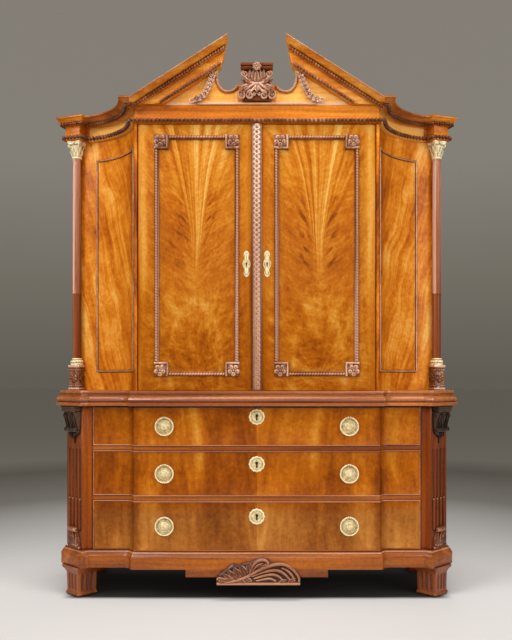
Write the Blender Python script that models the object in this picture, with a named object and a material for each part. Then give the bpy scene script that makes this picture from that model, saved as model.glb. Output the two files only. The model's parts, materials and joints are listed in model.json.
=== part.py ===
"""Linen press: a cupboard with scooped corners and a broken pediment, on a breakfront chest of drawers.

Metres. x runs to the right, y runs back from the face of the doors, z runs up from the floor.
Left and right are as someone facing the doors sees them.
"""

import math

import bmesh
import bpy
from mathutils import Matrix, Vector

# Clearances
SEAT = 0.0003
RUN = 0.0015

# Heights, from the floor up
FOOT_HEIGHT = 0.136
PLINTH_HEIGHT = 0.075
DRAWER_HEIGHTS = {"lower": 0.222, "middle": 0.203, "upper": 0.177}
RAIL_HEIGHT = 0.018
WAIST_HEIGHT = 0.068
PEDESTAL_HEIGHT = 0.117
COLUMN_BASE_HEIGHT = 0.033
COLUMN_HEIGHT = 0.945
CAPITAL_HEIGHT = 0.082
FRIEZE_TOP = 0.070
HOOD_HEIGHT = 0.106
PEDIMENT_HEIGHT = 0.292

# Plan of the cupboard
DOOR_HALF = 0.527
DOOR_STILE = 0.014
CORNER_FACE = 0.060
COVE_DEPTH = 0.282
COVE_SAG = 0.060
CORNER_TURN = math.radians(20)
COLUMN_REACH = 0.040
UPPER_HALF = 0.872
BACK_Y = 0.580

# Plan of the chest
BREAKFRONT = 0.040
CENTRE_PROUD = 0.016
CHEST_HALF = 0.862
POST_FACE = 0.093
POST_PROUD = 0.016
POST_LAP = 0.027
POST_THICKNESS = 0.033
CHEST_STILE = 0.024

# Boards
DOOR_THICKNESS = 0.024
COVE_THICKNESS = 0.018
PANEL = 0.022
BACK_BOARD = 0.015
BOTTOM_BOARD = 0.018
ROOF_BOARD = 0.016
SHELF_BOARD = 0.020
HOOD_WALL = 0.034
SHELF_RISE = {"lower": 0.400, "upper": 0.780}
CORNER_LAP = 0.020

# Hood, pediment and bracket
HOOD_BLOCK = 0.076
HOOD_BEAD = 0.027
HOOD_BEAD_OUT = 0.017
CROWN_OUT = 0.060
COVE_SHARE = 1.15
BLOCK_SHARE = 0.55
BED_SHARE = 0.40
PEDIMENT_HALF = 0.556
PEDIMENT_BOARD = 0.022
RAKE_INNER = 0.127
RAKE_SLOPE = 0.641
RAKE_UNDERCUT = 0.227
SCALLOP_AT = 0.132
SCALLOP_HALF = 0.040
SCALLOP_FLOOR = 0.062
SCALLOP_OUTER_RISE = 0.070
SCALLOP_INNER_RISE = 0.026
CREST_HALF = 0.048
CREST_HEIGHT = 0.125
BRACKET_HEIGHT = 0.151
BRACKET_HALF = 0.088
BRACKET_PROUD = 0.056
LOWER_SCROLL = 0.024
UPPER_SCROLL = 0.016
TYMPANUM_FILLET_HALF = 0.262
TYMPANUM_FILLET = 0.014
TYMPANUM_FILLET_PROUD = 0.009
RAKE_DROP = 0.110
RAKE_BAND_OUT = 0.016
RAKE_BEAD_OUT = 0.029

# Columns
COLUMN_RADIUS = 0.0215
COLUMN_BASE_RADIUS = 0.030
COLUMN_BAND_RISE = 0.307
COLUMN_FLUTES = 12
COLUMN_FLUTE_DEPTH = 0.0022
PEDESTAL_HALF = 0.027
CAPITAL_HALF = 0.036
CAPITAL_LEAVES = 8

# Bead frame on the scoops
COVE_BEAD = 0.009
COVE_BEAD_PROUD = 0.005
COVE_BEAD_INNER = 0.026
COVE_BEAD_OUTER = 0.052
COVE_BEAD_TOP = 0.088
COVE_BEAD_BOTTOM = 0.083

# Doors
MEETING_X = -0.0235
PIVOT_RADIUS = 0.005
PIVOT_LENGTH = 0.012
PIVOT_CLEARANCE = 0.0005
ASTRAGAL_HALF = 0.0215
ASTRAGAL_PROUD = 0.016
FRAME_INNER_MARGIN = 0.101
FRAME_OUTER_MARGIN = 0.0755
FRAME_TOP_MARGIN = 0.050
FRAME_BOTTOM_MARGIN = 0.065
FRAME_WIDTH = 0.020
FRAME_PROUD = 0.010
FRAME_SQUARE = 0.064
FRAME_SQUARE_PROUD = 0.013
ESCUTCHEON_HEIGHT = 0.127
ESCUTCHEON_WIDTH = 0.038
ESCUTCHEON_THICKNESS = 0.0025
ESCUTCHEON_IN = 0.024
ESCUTCHEON_RISE = 0.560

# Drawers
DRAWER_FRONT = 0.024
COCK_BEAD = 0.005
COCK_BEAD_PROUD = 0.003
BOX_DEPTH = 0.450
BOX_SIDE = 0.012
BOX_BOTTOM = 0.008
BOX_SIDE_GAP = 0.008
BOX_HEADROOM = 0.034
KEY_PLATE_RADIUS = 0.036
KEY_PLATE_LOBES = 12
KEY_PLATE_LIFT = 0.042
PULL_IN = 0.135
PULL_PLATE_RADIUS = 0.038
PULL_PLATE_THICKNESS = 0.003
PULL_BOSS = 0.010
RING_RADIUS = 0.0395
RING_WIRE = 0.0034
RING_OFF = 0.0065
RING_FACETS = 18
LUG_HALF = 0.004
LUG_REACH = 0.0052

# Chest outside
WAIST_OUT = 0.045
WAIST_TOP_OUT = 0.030
PLINTH_OUT = 0.024
PLINTH_EDGE = 0.009
PLINTH_WALL = 0.062
PLINTH_CHAMFER = 0.110
APRON_HALF = 0.311
APRON_DROP = 0.033
APRON_THICKNESS = 0.024
ORNAMENT_AT = 0.007
ORNAMENT_HALF = 0.183
ORNAMENT_HEIGHT = 0.118
ORNAMENT_DROP = 0.063
ORNAMENT_PROUD = 0.014
FLUTE_RADIUS = 0.0085
FLUTE_SPACING = 0.0275
FLUTE_BOTTOM_MARGIN = 0.080
FLUTE_TOP_MARGIN = 0.190
FLUTES = 4
POST_BLOCK_HALF = 0.052
POST_BLOCK_HEIGHT = 0.098
POST_BLOCK_PROUD = 0.018
CONSOLE_HALF = 0.056
CONSOLE_HEIGHT = 0.170
CONSOLE_PROUD = 0.037
FOOT_IN = 0.072
FOOT_SET = 0.051
FOOT_HALF = 0.047
FOOT_TOP_HALF = 0.064
FOOT_FLUTE = 0.0085
BACK_FOOT_IN = 0.062
BACK_FOOT_SET = 0.080
BACK_FOOT_HALF = 0.045
BACK_FOOT_TAPER = 0.006

# Levels and planes that follow from the sizes above
CHEST_Z = FOOT_HEIGHT + PLINTH_HEIGHT
WAIST_Z = CHEST_Z + sum(DRAWER_HEIGHTS.values()) + 2 * RAIL_HEIGHT
UPPER_Z = WAIST_Z + WAIST_HEIGHT
COLUMN_Z = UPPER_Z + PEDESTAL_HEIGHT
SHAFT_Z = COLUMN_Z + COLUMN_BASE_HEIGHT
CAPITAL_Z = SHAFT_Z + COLUMN_HEIGHT
HOOD_Z = CAPITAL_Z + CAPITAL_HEIGHT
FRIEZE_Z = HOOD_Z + FRIEZE_TOP + BED_SHARE * (HOOD_HEIGHT - FRIEZE_TOP)
ROOF_Z = HOOD_Z + HOOD_HEIGHT
APEX_Z = FRIEZE_Z + PEDIMENT_HEIGHT
CENTRE_HALF = DOOR_HALF + DOOR_STILE
CENTRE_Y = -CENTRE_PROUD
WING_Y = CENTRE_Y + BREAKFRONT
DRAWER_HALF = CHEST_HALF - POST_FACE - POST_PROUD - CHEST_STILE
DRAWER_BACK_Y = WING_Y + DRAWER_FRONT
FRONT_Y = min(-CROWN_OUT, CENTRE_Y - WAIST_OUT)
DOOR_BOTTOM = UPPER_Z + RUN
DOOR_TOP = HOOD_Z - RUN
PIVOT = Vector((DOOR_HALF - DOOR_THICKNESS / 2, DOOR_THICKNESS / 2))

# The scoop is an arc through its two ends; the column stands before the corner face at its outer end
COVE_WIDTH = UPPER_HALF - CENTRE_HALF - CORNER_FACE
COVE_CHORD = math.hypot(COVE_WIDTH, COVE_DEPTH)
COVE_RADIUS = (COVE_CHORD**2 / 4 + COVE_SAG**2) / (2 * COVE_SAG)
COVE_START = Vector((CENTRE_HALF, 0.0))
COVE_END = COVE_START + Vector((COVE_WIDTH, COVE_DEPTH))
COVE_CENTRE = (COVE_START + COVE_END) / 2 + (COVE_RADIUS - COVE_SAG) * Vector(
    (COVE_DEPTH, -COVE_WIDTH)
).normalized()
ALONG = Vector((math.cos(CORNER_TURN), math.sin(CORNER_TURN)))
AHEAD = Vector((math.sin(CORNER_TURN), -math.cos(CORNER_TURN)))
COLUMN_AT = COVE_END + ALONG * COLUMN_REACH + AHEAD * (COLUMN_RADIUS + SEAT)
CORNER_END_Y = COVE_END.y + (UPPER_HALF - COVE_END.x) * math.tan(CORNER_TURN)
SIDE_FRONT_Y = CORNER_END_Y + CORNER_LAP

# The post's plan: stile corner, arris, and the outer end of its canted face
POST_INNER = Vector((DRAWER_HALF + CHEST_STILE, WING_Y))
POST_ARRIS = POST_INNER + Vector((POST_PROUD, -POST_PROUD))
POST_OUTER = POST_ARRIS + Vector((POST_FACE, POST_FACE))
POST_BACK_Y = POST_OUTER.y + POST_LAP
CANT_MIDDLE = (POST_ARRIS + POST_OUTER) / 2
CANT_TURN = math.radians(45)
ARC_STEPS = 6
COVE_STEPS = 8

# Colours and finishes
FINISHES = {
    "mahogany": ((0.42, 0.150, 0.030), 0.32, 0.0),
    "dark_mahogany": ((0.20, 0.062, 0.022), 0.38, 0.0),
    "carved_dark": ((0.072, 0.030, 0.016), 0.48, 0.0),
    "oak": ((0.36, 0.215, 0.105), 0.60, 0.0),
    "gilt_brass": ((0.74, 0.58, 0.30), 0.30, 1.0),
}


def clear_scene():
    for old in list(bpy.data.objects):
        bpy.data.objects.remove(old)


def finish(name):
    if name in bpy.data.materials:
        return bpy.data.materials[name]
    colour, roughness, metallic = FINISHES[name]
    material = bpy.data.materials.new(name)
    material.use_nodes = True
    shader = material.node_tree.nodes["Principled BSDF"]
    shader.inputs["Base Color"].default_value = (*colour, 1.0)
    shader.inputs["Roughness"].default_value = roughness
    shader.inputs["Metallic"].default_value = metallic
    return material


def empty(name, at, parent=None):
    frame = bpy.data.objects.new(name, None)
    bpy.context.collection.objects.link(frame)
    frame.location = at
    frame.parent = parent
    return frame


# Shapes


def solid(name, vertices, faces, material):
    """A closed mesh with its faces turned outwards."""
    mesh = bpy.data.meshes.new(name)
    mesh.from_pydata([tuple(v) for v in vertices], [], faces)
    shape = bmesh.new()
    shape.from_mesh(mesh)
    bmesh.ops.recalc_face_normals(shape, faces=shape.faces)
    shape.to_mesh(mesh)
    shape.free()
    mesh.materials.append(finish(material))
    thing = bpy.data.objects.new(name, mesh)
    bpy.context.collection.objects.link(thing)
    return thing


def loft(name, rings, material):
    """A solid through closed rings of equally many points, with flat ends."""
    count = len(rings[0])
    vertices = [point for ring in rings for point in ring]
    faces = []
    for start in range(0, len(vertices) - count, count):
        for i in range(count):
            j = (i + 1) % count
            faces.append((start + i, start + j, start + count + j, start + count + i))
    faces.append(tuple(reversed(range(count))))
    faces.append(tuple(range(len(vertices) - count, len(vertices))))
    return solid(name, vertices, faces, material)


def prism(name, outline, low, high, material):
    """A plan outline raised from one level to another."""
    rings = [[(p[0], p[1], z) for p in outline] for z in (low, high)]
    return loft(name, rings, material)


def slab(name, low, high, material):
    """A plain board between two corners."""
    outline = [(low[0], low[1]), (high[0], low[1]), (high[0], high[1]), (low[0], high[1])]
    return prism(name, outline, low[2], high[2], material)


def plate(name, outline, front, back, material):
    """A front-view outline of x and z, given thickness between two y planes."""
    rings = [[(p[0], y, p[1]) for p in outline] for y in (front, back)]
    return loft(name, rings, material)


def turned(name, profile, centre, facets, material):
    """A turned shape about a vertical axis; the profile holds radius and height."""
    angles = [math.tau * i / facets for i in range(facets)]
    rings = [
        [(centre[0] + r * math.cos(a), centre[1] + r * math.sin(a), z) for a in angles]
        for r, z in profile
    ]
    return loft(name, rings, material)


def turned_forward(name, profile, centre, facets, material):
    """A turned shape about an axis along y; the profile holds radius and y."""
    angles = [math.tau * (i + 0.5) / facets for i in range(facets)]
    rings = [
        [(centre[0] + r * math.cos(a), y, centre[1] + r * math.sin(a)) for a in angles]
        for r, y in profile
    ]
    return loft(name, rings, material)


def boolean(target, other, operation):
    """Unites with, or cuts by, another shape, which is used up."""
    modifier = target.modifiers.new(operation.lower(), "BOOLEAN")
    modifier.operation = operation
    modifier.solver = "EXACT"
    modifier.object = other
    graph = bpy.context.evaluated_depsgraph_get()
    mesh = bpy.data.meshes.new_from_object(target.evaluated_get(graph))
    target.modifiers.clear()
    target.data = mesh
    bpy.data.objects.remove(other)
    return target


def union(target, other):
    return boolean(target, other, "UNION")


def cut(target, other):
    return boolean(target, other, "DIFFERENCE")


def moved(thing, matrix):
    """Moves the points of a shape."""
    thing.data.transform(matrix)
    return thing


def mirrored(thing, name):
    """The same shape on the other side of the press."""
    mesh = thing.data.copy()
    mesh.transform(Matrix.Scale(-1, 4, Vector((1, 0, 0))))
    mesh.flip_normals()
    other = bpy.data.objects.new(name, mesh)
    bpy.context.collection.objects.link(other)
    return other


def attach(thing, parent):
    """Hangs a shape on an empty, with its origin there."""
    mesh = thing.data
    here = Vector(parent.location)
    mesh.transform(Matrix.Translation(-here))
    mesh.shade_smooth()
    mesh.set_sharp_from_angle(angle=math.radians(32))
    thing.parent = parent
    return thing


def arc(centre, radius, start, end, steps):
    """Points on an arc, both ends included."""
    angles = [start + (end - start) * i / steps for i in range(steps + 1)]
    return [centre + radius * Vector((math.cos(a), math.sin(a))) for a in angles]


def whole(half):
    """Both halves of a plan outline from its right half, which runs from the front round to the back."""
    return [Vector(p) for p in half] + [Vector((-p[0], p[1])) for p in reversed(half)]


# Plan outlines


def angle_to(point, centre):
    """The direction of a point from a centre, as an angle from 0 up to a full turn."""
    return math.atan2(point[1] - centre[1], point[0] - centre[0]) % math.tau


def cove_crossing(radius, y):
    """The point where an arc about the scoop's centre crosses a line across the front."""
    rise = y - COVE_CENTRE.y
    return Vector((COVE_CENTRE.x - math.sqrt(radius**2 - rise**2), y))


def hood_plan(out):
    """The hood's outline, standing out from the doors, the scoops, the corner blocks and the sides."""
    radius = COVE_RADIUS - out * COVE_SHARE
    start = cove_crossing(radius, -out)
    half = HOOD_BLOCK / 2 + out * BLOCK_SHARE
    base = COLUMN_AT - ALONG * half
    offset = base - COVE_CENTRE
    b = AHEAD.dot(offset)
    c = offset.dot(offset) - radius**2
    end = base + AHEAD * (-b - math.sqrt(b * b - c))
    turn = angle_to(start, COVE_CENTRE), angle_to(end, COVE_CENTRE)
    inner = base + AHEAD * half
    outer = inner + ALONG * 2 * half
    side_x = UPPER_HALF + out * BLOCK_SHARE
    side = outer - AHEAD * ((outer.x - side_x) / AHEAD.x)
    right = arc(COVE_CENTRE, radius, *turn, COVE_STEPS)
    return whole(right + [inner, outer, side, Vector((side_x, BACK_Y))])


def inside_plan(gap, front, back):
    """The clear space inside the cupboard, drawn in by a gap."""
    radius = COVE_RADIUS + COVE_THICKNESS + gap
    turn = angle_to(cove_crossing(radius, front), COVE_CENTRE), angle_to(COVE_END, COVE_CENTRE)
    side_x = UPPER_HALF - PANEL - gap
    right = arc(COVE_CENTRE, radius, *turn, COVE_STEPS)
    corner = Vector((side_x, SIDE_FRONT_Y + 6 * gap))
    return whole(right + [corner, Vector((side_x, back - gap))])


def breakfront(out):
    """The right half of the chest's front, from the centre block out to the straight wing."""
    shift = out * math.tan(math.radians(22.5))
    centre = Vector((CENTRE_HALF + shift + BREAKFRONT, CENTRE_Y - out))
    return arc(centre, BREAKFRONT, math.pi, math.pi / 2, ARC_STEPS)


def chest_plan(out):
    """The chest's outline with its corner posts, moved outwards."""
    across = POST_INNER.x + POST_INNER.y - math.sqrt(2) * out
    along = POST_ARRIS.x - POST_ARRIS.y + math.sqrt(2) * out
    front_y = WING_Y - out
    side_x = CHEST_HALF + out
    posts = [
        Vector((across - front_y, front_y)),
        Vector((across + along, across - along)) / 2,
        Vector((side_x, side_x - along)),
        Vector((side_x, BACK_Y)),
    ]
    return whole(breakfront(out) + posts)


def moulding(name, profile, base_z, plan, material):
    """A board whose edge follows a profile of height and projection."""
    rings = [[(p.x, p.y, base_z + z) for p in plan(out)] for z, out in profile]
    return loft(name, rings, material)


def place_pair(right, name, parent):
    """Puts a right-hand shape and its mirror image on the same parent."""
    left = mirrored(right, name + "_left")
    right.name = name + "_right"
    attach(left, parent)
    attach(right, parent)


# The chest


def waist_board(case):
    """A board edged with a fillet, a torus, a cove and a top fillet."""
    torus = [
        (0.00, 0.27),
        (0.03, 0.98),
        (0.22, 1.00),
        (0.265, 0.82),
        (0.33, 0.90),
        (0.44, 0.97),
        (0.56, 0.90),
        (0.63, 0.755),
    ]
    top = [(0.705, 0.87), (0.81, 0.87), (0.825, 1.00), (1.00, 1.00)]
    profile = [(rise * WAIST_HEIGHT, out * WAIST_OUT) for rise, out in torus]
    profile += [(rise * WAIST_HEIGHT, out * WAIST_TOP_OUT) for rise, out in top]
    board = moulding("waist_board", profile, WAIST_Z, chest_plan, "mahogany")
    for side in (-1, 1):
        at = (side * PIVOT.x, PIVOT.y)
        cut(board, pivot_hole(at, UPPER_Z - PIVOT_LENGTH - RUN, UPPER_Z + PIVOT_LENGTH))
    attach(board, case)


def pivot_hole(at, low, high):
    radius = PIVOT_RADIUS + PIVOT_CLEARANCE
    return turned("pivot_hole", [(radius, low), (radius, high)], at, 16, "oak")


def chest_carcase(case):
    low = CHEST_Z + SEAT
    high = WAIST_Z - SEAT
    side = slab(
        "chest_side",
        (CHEST_HALF - PANEL, POST_BACK_Y + SEAT, low),
        (CHEST_HALF, BACK_Y, high),
        "mahogany",
    )
    place_pair(side, "chest_side", case)
    inside = CHEST_HALF - PANEL - SEAT
    back_y = BACK_Y - BACK_BOARD
    back = slab("chest_back", (-inside, back_y, low), (inside, BACK_Y, high), "oak")
    attach(back, case)
    neck = DRAWER_HALF - SEAT
    notch = [(neck, POST_BACK_Y + SEAT), (inside, POST_BACK_Y + SEAT), (inside, back_y - SEAT)]
    floor = whole([(neck, DRAWER_BACK_Y + RUN)] + notch)
    attach(prism("chest_bottom", floor, low, low + BOTTOM_BOARD, "oak"), case)
    shelf = whole(breakfront(0.0) + [(neck, WING_Y)] + notch)
    for name, z in (("lower", rail_z("lower")), ("upper", rail_z("middle"))):
        attach(prism("drawer_divider_" + name, shelf, z, z + RAIL_HEIGHT, "mahogany"), case)


def rail_z(below):
    """The underside of the rail above a drawer."""
    z = CHEST_Z
    for name, height in DRAWER_HEIGHTS.items():
        z += height
        if name == below:
            return z
        z += RAIL_HEIGHT
    return z


def corner_posts(case):
    outline = [
        (DRAWER_HALF, WING_Y),
        POST_INNER,
        POST_ARRIS,
        POST_OUTER,
        (CHEST_HALF, POST_BACK_Y),
        (CHEST_HALF - POST_FACE, POST_BACK_Y),
        (DRAWER_HALF, WING_Y + POST_THICKNESS),
    ]
    post = prism("post", outline, CHEST_Z + SEAT, WAIST_Z - SEAT, "dark_mahogany")
    for i in range(FLUTES):
        across = (i - (FLUTES - 1) / 2) * FLUTE_SPACING
        at = CANT_MIDDLE + across * Vector((1, 1)).normalized()
        cut(post, groove(at, CHEST_Z + FLUTE_BOTTOM_MARGIN, WAIST_Z - FLUTE_TOP_MARGIN, FLUTE_RADIUS))
    union(post, post_block())
    place_pair(post, "corner_post", case)


def post_block():
    """The carved block at a post's foot: a leaf on a fillet, drawn in under a scroll."""
    # Shares of the block's half width, projection and height, from the fillet up to the scroll
    shape = [
        (1.00, 0.50, 0.00),
        (1.00, 0.50, 0.13),
        (0.90, 0.34, 0.16),
        (0.92, 0.62, 0.30),
        (0.82, 0.68, 0.46),
        (0.66, 0.46, 0.64),
        (0.52, 0.40, 0.76),
        (0.55, 0.92, 0.80),
        (0.55, 1.00, 0.88),
        (0.52, 0.84, 0.97),
        (0.50, 0.30, 1.00),
    ]
    low = CHEST_Z + SEAT
    rings = []
    for wide, reach, rise in shape:
        half = wide * POST_BLOCK_HALF
        front = -reach * POST_BLOCK_PROUD
        z = low + rise * POST_BLOCK_HEIGHT
        rooted = POST_BLOCK_PROUD
        rings.append([(-half, front, z), (half, front, z), (half, rooted, z), (-half, rooted, z)])
    block = loft("post_block", rings, "dark_mahogany")
    turn = Matrix.Rotation(CANT_TURN, 4, "Z")
    return moved(block, Matrix.Translation((CANT_MIDDLE.x, CANT_MIDDLE.y, 0.0)) @ turn)


def groove(at, low, high, radius):
    """A round-ended flute cutter that stands upright."""
    small = radius / 2
    profile = [(small, low), (radius, low + radius), (radius, high - radius), (small, high)]
    return turned("groove", profile, at, 12, "dark_mahogany")


def consoles(case):
    """Carved scroll brackets on the canted faces, under the waist."""
    top = WAIST_Z - SEAT
    # Shares of the console's projection, drop and half width, down its front from the slab to the pendant
    outline = [
        (0.00, 0.00, 1.00),
        (1.00, 0.00, 1.00),
        (1.00, 0.15, 1.00),
        (0.80, 0.19, 0.88),
        (0.78, 0.30, 0.88),
        (0.58, 0.43, 0.86),
        (0.50, 0.55, 0.82),
        (0.60, 0.63, 0.80),
        (0.46, 0.72, 0.70),
        (0.20, 0.77, 0.36),
        (0.14, 0.83, 0.13),
        (0.16, 0.92, 0.13),
        (0.06, 1.00, 0.05),
        (0.00, 1.00, 0.05),
    ]
    rings = []
    for side in (-1, 1):
        ring = []
        for reach, drop, wide in outline:
            y = -SEAT - reach * CONSOLE_PROUD
            ring.append((side * wide * CONSOLE_HALF, y, top - drop * CONSOLE_HEIGHT))
        rings.append(ring)
    console = loft("console", rings, "carved_dark")
    turn = Matrix.Rotation(CANT_TURN, 4, "Z")
    moved(console, Matrix.Translation((CANT_MIDDLE.x, CANT_MIDDLE.y, 0.0)) @ turn)
    place_pair(console, "console", case)


def plinth(case):
    """The base frame with its moulded top edge, stepped apron and carved apron ornament."""
    shape = [(0.0, 1.0), (0.69, 1.0), (0.75, 0.73), (0.83, 0.60), (0.91, 0.13), (1.0, 0.0)]
    swell = PLINTH_OUT - PLINTH_EDGE
    profile = [(rise * PLINTH_HEIGHT, PLINTH_EDGE + out * swell) for rise, out in shape]
    frame = moulding("plinth", profile, FOOT_HEIGHT, chest_plan, "mahogany")
    inner_x = CHEST_HALF - PLINTH_WALL
    front_y = WING_Y + PLINTH_WALL
    back_y = BACK_Y - PLINTH_WALL
    well = whole(
        [
            (inner_x - PLINTH_CHAMFER, front_y),
            (inner_x, front_y + PLINTH_CHAMFER),
            (inner_x, back_y - PLINTH_CHAMFER),
            (inner_x - PLINTH_CHAMFER, back_y),
        ]
    )
    cut(frame, prism("well", well, FOOT_HEIGHT - RUN, CHEST_Z + RUN, "oak"))
    face_y = CENTRE_Y - PLINTH_OUT
    apron = slab(
        "apron",
        (-APRON_HALF, face_y + RUN, FOOT_HEIGHT - APRON_DROP),
        (APRON_HALF, face_y + APRON_THICKNESS, FOOT_HEIGHT + APRON_DROP / 2),
        "mahogany",
    )
    union(frame, apron)
    union(frame, apron_ornament(face_y))
    attach(frame, case)


def apron_ornament(face_y):
    """The carved spray on a straight foot: leaves climbing from the left, a fall of drapery to the right."""
    # Shares of the half width and the height, round the outline from the right end of the foot
    outline = [
        (1.00, 0.00),
        (1.00, 0.30),
        (0.79, 0.58),
        (0.60, 0.78),
        (0.40, 0.81),
        (0.28, 0.84),
        (0.24, 0.94),
        (0.12, 1.00),
        (-0.05, 0.96),
        (-0.20, 0.83),
        (-0.34, 0.82),
        (-0.46, 0.70),
        (-0.62, 0.76),
        (-0.73, 0.61),
        (-0.91, 0.40),
        (-1.00, 0.26),
        (-1.00, 0.00),
    ]
    low = FOOT_HEIGHT - ORNAMENT_DROP
    inner = face_y + APRON_THICKNESS / 2
    rings = []
    for y, share in ((inner, 1.0), (face_y - ORNAMENT_PROUD / 2, 1.0), (face_y - ORNAMENT_PROUD, 0.92)):
        ring = []
        for across, rise in outline:
            x = ORNAMENT_AT + share * across * ORNAMENT_HALF
            ring.append((x, y, low + share * rise * ORNAMENT_HEIGHT))
        rings.append(ring)
    return loft("ornament", rings, "mahogany")


def front_feet(case):
    """Square fluted feet set diagonally under the posts: a rounded toe and a hollow flare above."""
    top = FOOT_HEIGHT - SEAT
    # Shares of the flare and of the height, from the toe up
    shape = [
        (-0.20, 0.00),
        (0.26, 0.05),
        (0.26, 0.11),
        (0.00, 0.16),
        (0.14, 0.70),
        (0.26, 0.78),
        (0.56, 0.86),
        (1.00, 0.92),
        (1.00, 1.00),
    ]
    rings = []
    for flare, rise in shape:
        rings.append(square_ring(FOOT_HALF + flare * (FOOT_TOP_HALF - FOOT_HALF), rise * top))
    foot = loft("foot", rings, "dark_mahogany")
    face = -FOOT_HALF - FOOT_FLUTE * 0.35
    for across in (-FOOT_HALF / 2, 0.0, FOOT_HALF / 2):
        for at in ((across, face), (face, across)):
            cut(foot, groove(at, top * 0.22, top * 0.72, FOOT_FLUTE))
    turn = Matrix.Rotation(CANT_TURN, 4, "Z")
    moved(foot, Matrix.Translation((CHEST_HALF - FOOT_IN, WING_Y + FOOT_SET, 0.0)) @ turn)
    place_pair(foot, "foot_front", case)


def square_ring(half, z):
    return [(-half, -half, z), (half, -half, z), (half, half, z), (-half, half, z)]


def back_feet(case):
    profile = [(BACK_FOOT_HALF - BACK_FOOT_TAPER, 0.0), (BACK_FOOT_HALF, FOOT_HEIGHT - SEAT)]
    foot = loft("foot", [square_ring(half, z) for half, z in profile], "dark_mahogany")
    moved(foot, Matrix.Translation((CHEST_HALF - BACK_FOOT_IN, BACK_Y - BACK_FOOT_SET, 0.0)))
    place_pair(foot, "foot_back", case)


# The cupboard


def cupboard_walls(case):
    low = UPPER_Z + SEAT
    high = HOOD_Z - SEAT
    side = slab(
        "upper_side",
        (UPPER_HALF - PANEL, SIDE_FRONT_Y + SEAT, low),
        (UPPER_HALF, BACK_Y, high),
        "mahogany",
    )
    place_pair(side, "upper_side", case)
    inside = UPPER_HALF - PANEL - SEAT
    back_y = BACK_Y - BACK_BOARD
    back = slab("upper_back", (-inside, back_y, low), (inside, BACK_Y, high), "oak")
    attach(back, case)
    cove = prism("cove", cove_outline(), low, high, "mahogany")
    place_pair(union(cove, cove_bead()), "cove_panel", case)
    shelf = inside_plan(SEAT, DOOR_THICKNESS + 4 * RUN, back_y)
    for name, rise in SHELF_RISE.items():
        z = UPPER_Z + rise
        attach(prism("shelf_" + name, shelf, z, z + SHELF_BOARD, "oak"), case)


def cove_outline():
    """The scooped panel with the narrow stile beside the door and the corner face behind the column."""
    outer_turn = angle_to(COVE_START, COVE_CENTRE), angle_to(COVE_END, COVE_CENTRE)
    radius = COVE_RADIUS + COVE_THICKNESS
    rear = cove_crossing(radius, DOOR_THICKNESS + 4 * RUN)
    inner_turn = angle_to(COVE_END, COVE_CENTRE), angle_to(rear, COVE_CENTRE)
    face = arc(COVE_CENTRE, COVE_RADIUS, *outer_turn, COVE_STEPS)
    corner = [
        Vector((UPPER_HALF, CORNER_END_Y)),
        Vector((UPPER_HALF, SIDE_FRONT_Y)),
        Vector((UPPER_HALF - PANEL, SIDE_FRONT_Y)),
    ]
    behind = arc(COVE_CENTRE, radius, *inner_turn, COVE_STEPS)
    stile = Vector((DOOR_HALF + RUN, 0.0))
    return [stile] + face + corner + behind


def cove_bead():
    """The bead that frames the field of the scoop, let into it a little."""
    start = angle_to(COVE_START, COVE_CENTRE) - COVE_BEAD_INNER / COVE_RADIUS
    end = angle_to(COVE_END, COVE_CENTRE) + COVE_BEAD_OUTER / COVE_RADIUS
    low = UPPER_Z + COVE_BEAD_BOTTOM
    high = HOOD_Z - COVE_BEAD_TOP
    rooted = -RUN
    section = [(0.0, rooted), (0.0, 0.4), (0.3, 1.0), (0.7, 1.0), (1.0, 0.4), (1.0, rooted)]
    rings = []
    for across, proud in section:
        inset = across * COVE_BEAD
        radius = COVE_RADIUS - (proud * COVE_BEAD_PROUD if proud > 0 else proud)
        turn = inset / COVE_RADIUS
        path = arc(COVE_CENTRE, radius, start - turn, end + turn, COVE_STEPS)
        ring = [(p.x, p.y, low + inset) for p in path]
        ring += [(p.x, p.y, high - inset) for p in reversed(path)]
        rings.append(ring)
    return closed_loft("cove_bead", rings, "mahogany")


def hood(case):
    """The lift-off hood: lower bead, frieze, upper bead and crown, closed by a roof board."""
    lower_bead = [(0.0, 0.24), (0.11, 0.76), (0.48, 1.0), (0.82, 0.76), (0.97, 0.24), (1.0, 0.0)]
    crown = [
        (-0.08, 0.00),
        (-0.03, 0.37),
        (0.11, 0.53),
        (0.28, 0.48),
        (0.33, 0.60),
        (0.56, 0.73),
        (0.78, 0.92),
        (0.83, 1.00),
        (1.00, 1.00),
    ]
    crown_rise = HOOD_HEIGHT - FRIEZE_TOP
    profile = [(rise * HOOD_BEAD, out * HOOD_BEAD_OUT) for rise, out in lower_bead]
    profile += [(FRIEZE_TOP + rise * crown_rise, out * CROWN_OUT) for rise, out in crown]
    body = moulding("entablature", profile, HOOD_Z, hood_plan, "mahogany")
    hollow = inside_plan(0.0, HOOD_WALL, BACK_Y - HOOD_WALL)
    cut(body, prism("hollow", hollow, HOOD_Z - RUN, ROOF_Z - ROOF_BOARD, "oak"))
    bed = slab(
        "bed",
        (-PEDIMENT_HALF, FRONT_Y - RUN, FRIEZE_Z),
        (PEDIMENT_HALF, PEDIMENT_BOARD + SEAT, ROOF_Z + RUN),
        "oak",
    )
    cut(body, bed)
    face = slab(
        "face",
        (-PEDIMENT_HALF, FRONT_Y - RUN, HOOD_Z + FRIEZE_TOP - 0.1 * crown_rise),
        (PEDIMENT_HALF, -SEAT, FRIEZE_Z + RUN),
        "oak",
    )
    cut(body, face)
    for side in (-1, 1):
        at = (side * PIVOT.x, PIVOT.y)
        cut(body, pivot_hole(at, HOOD_Z - PIVOT_LENGTH, HOOD_Z + PIVOT_LENGTH + RUN))
    attach(body, case)


def rake_top(x):
    return APEX_Z - RAKE_SLOPE * (x - RAKE_INNER)


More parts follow.
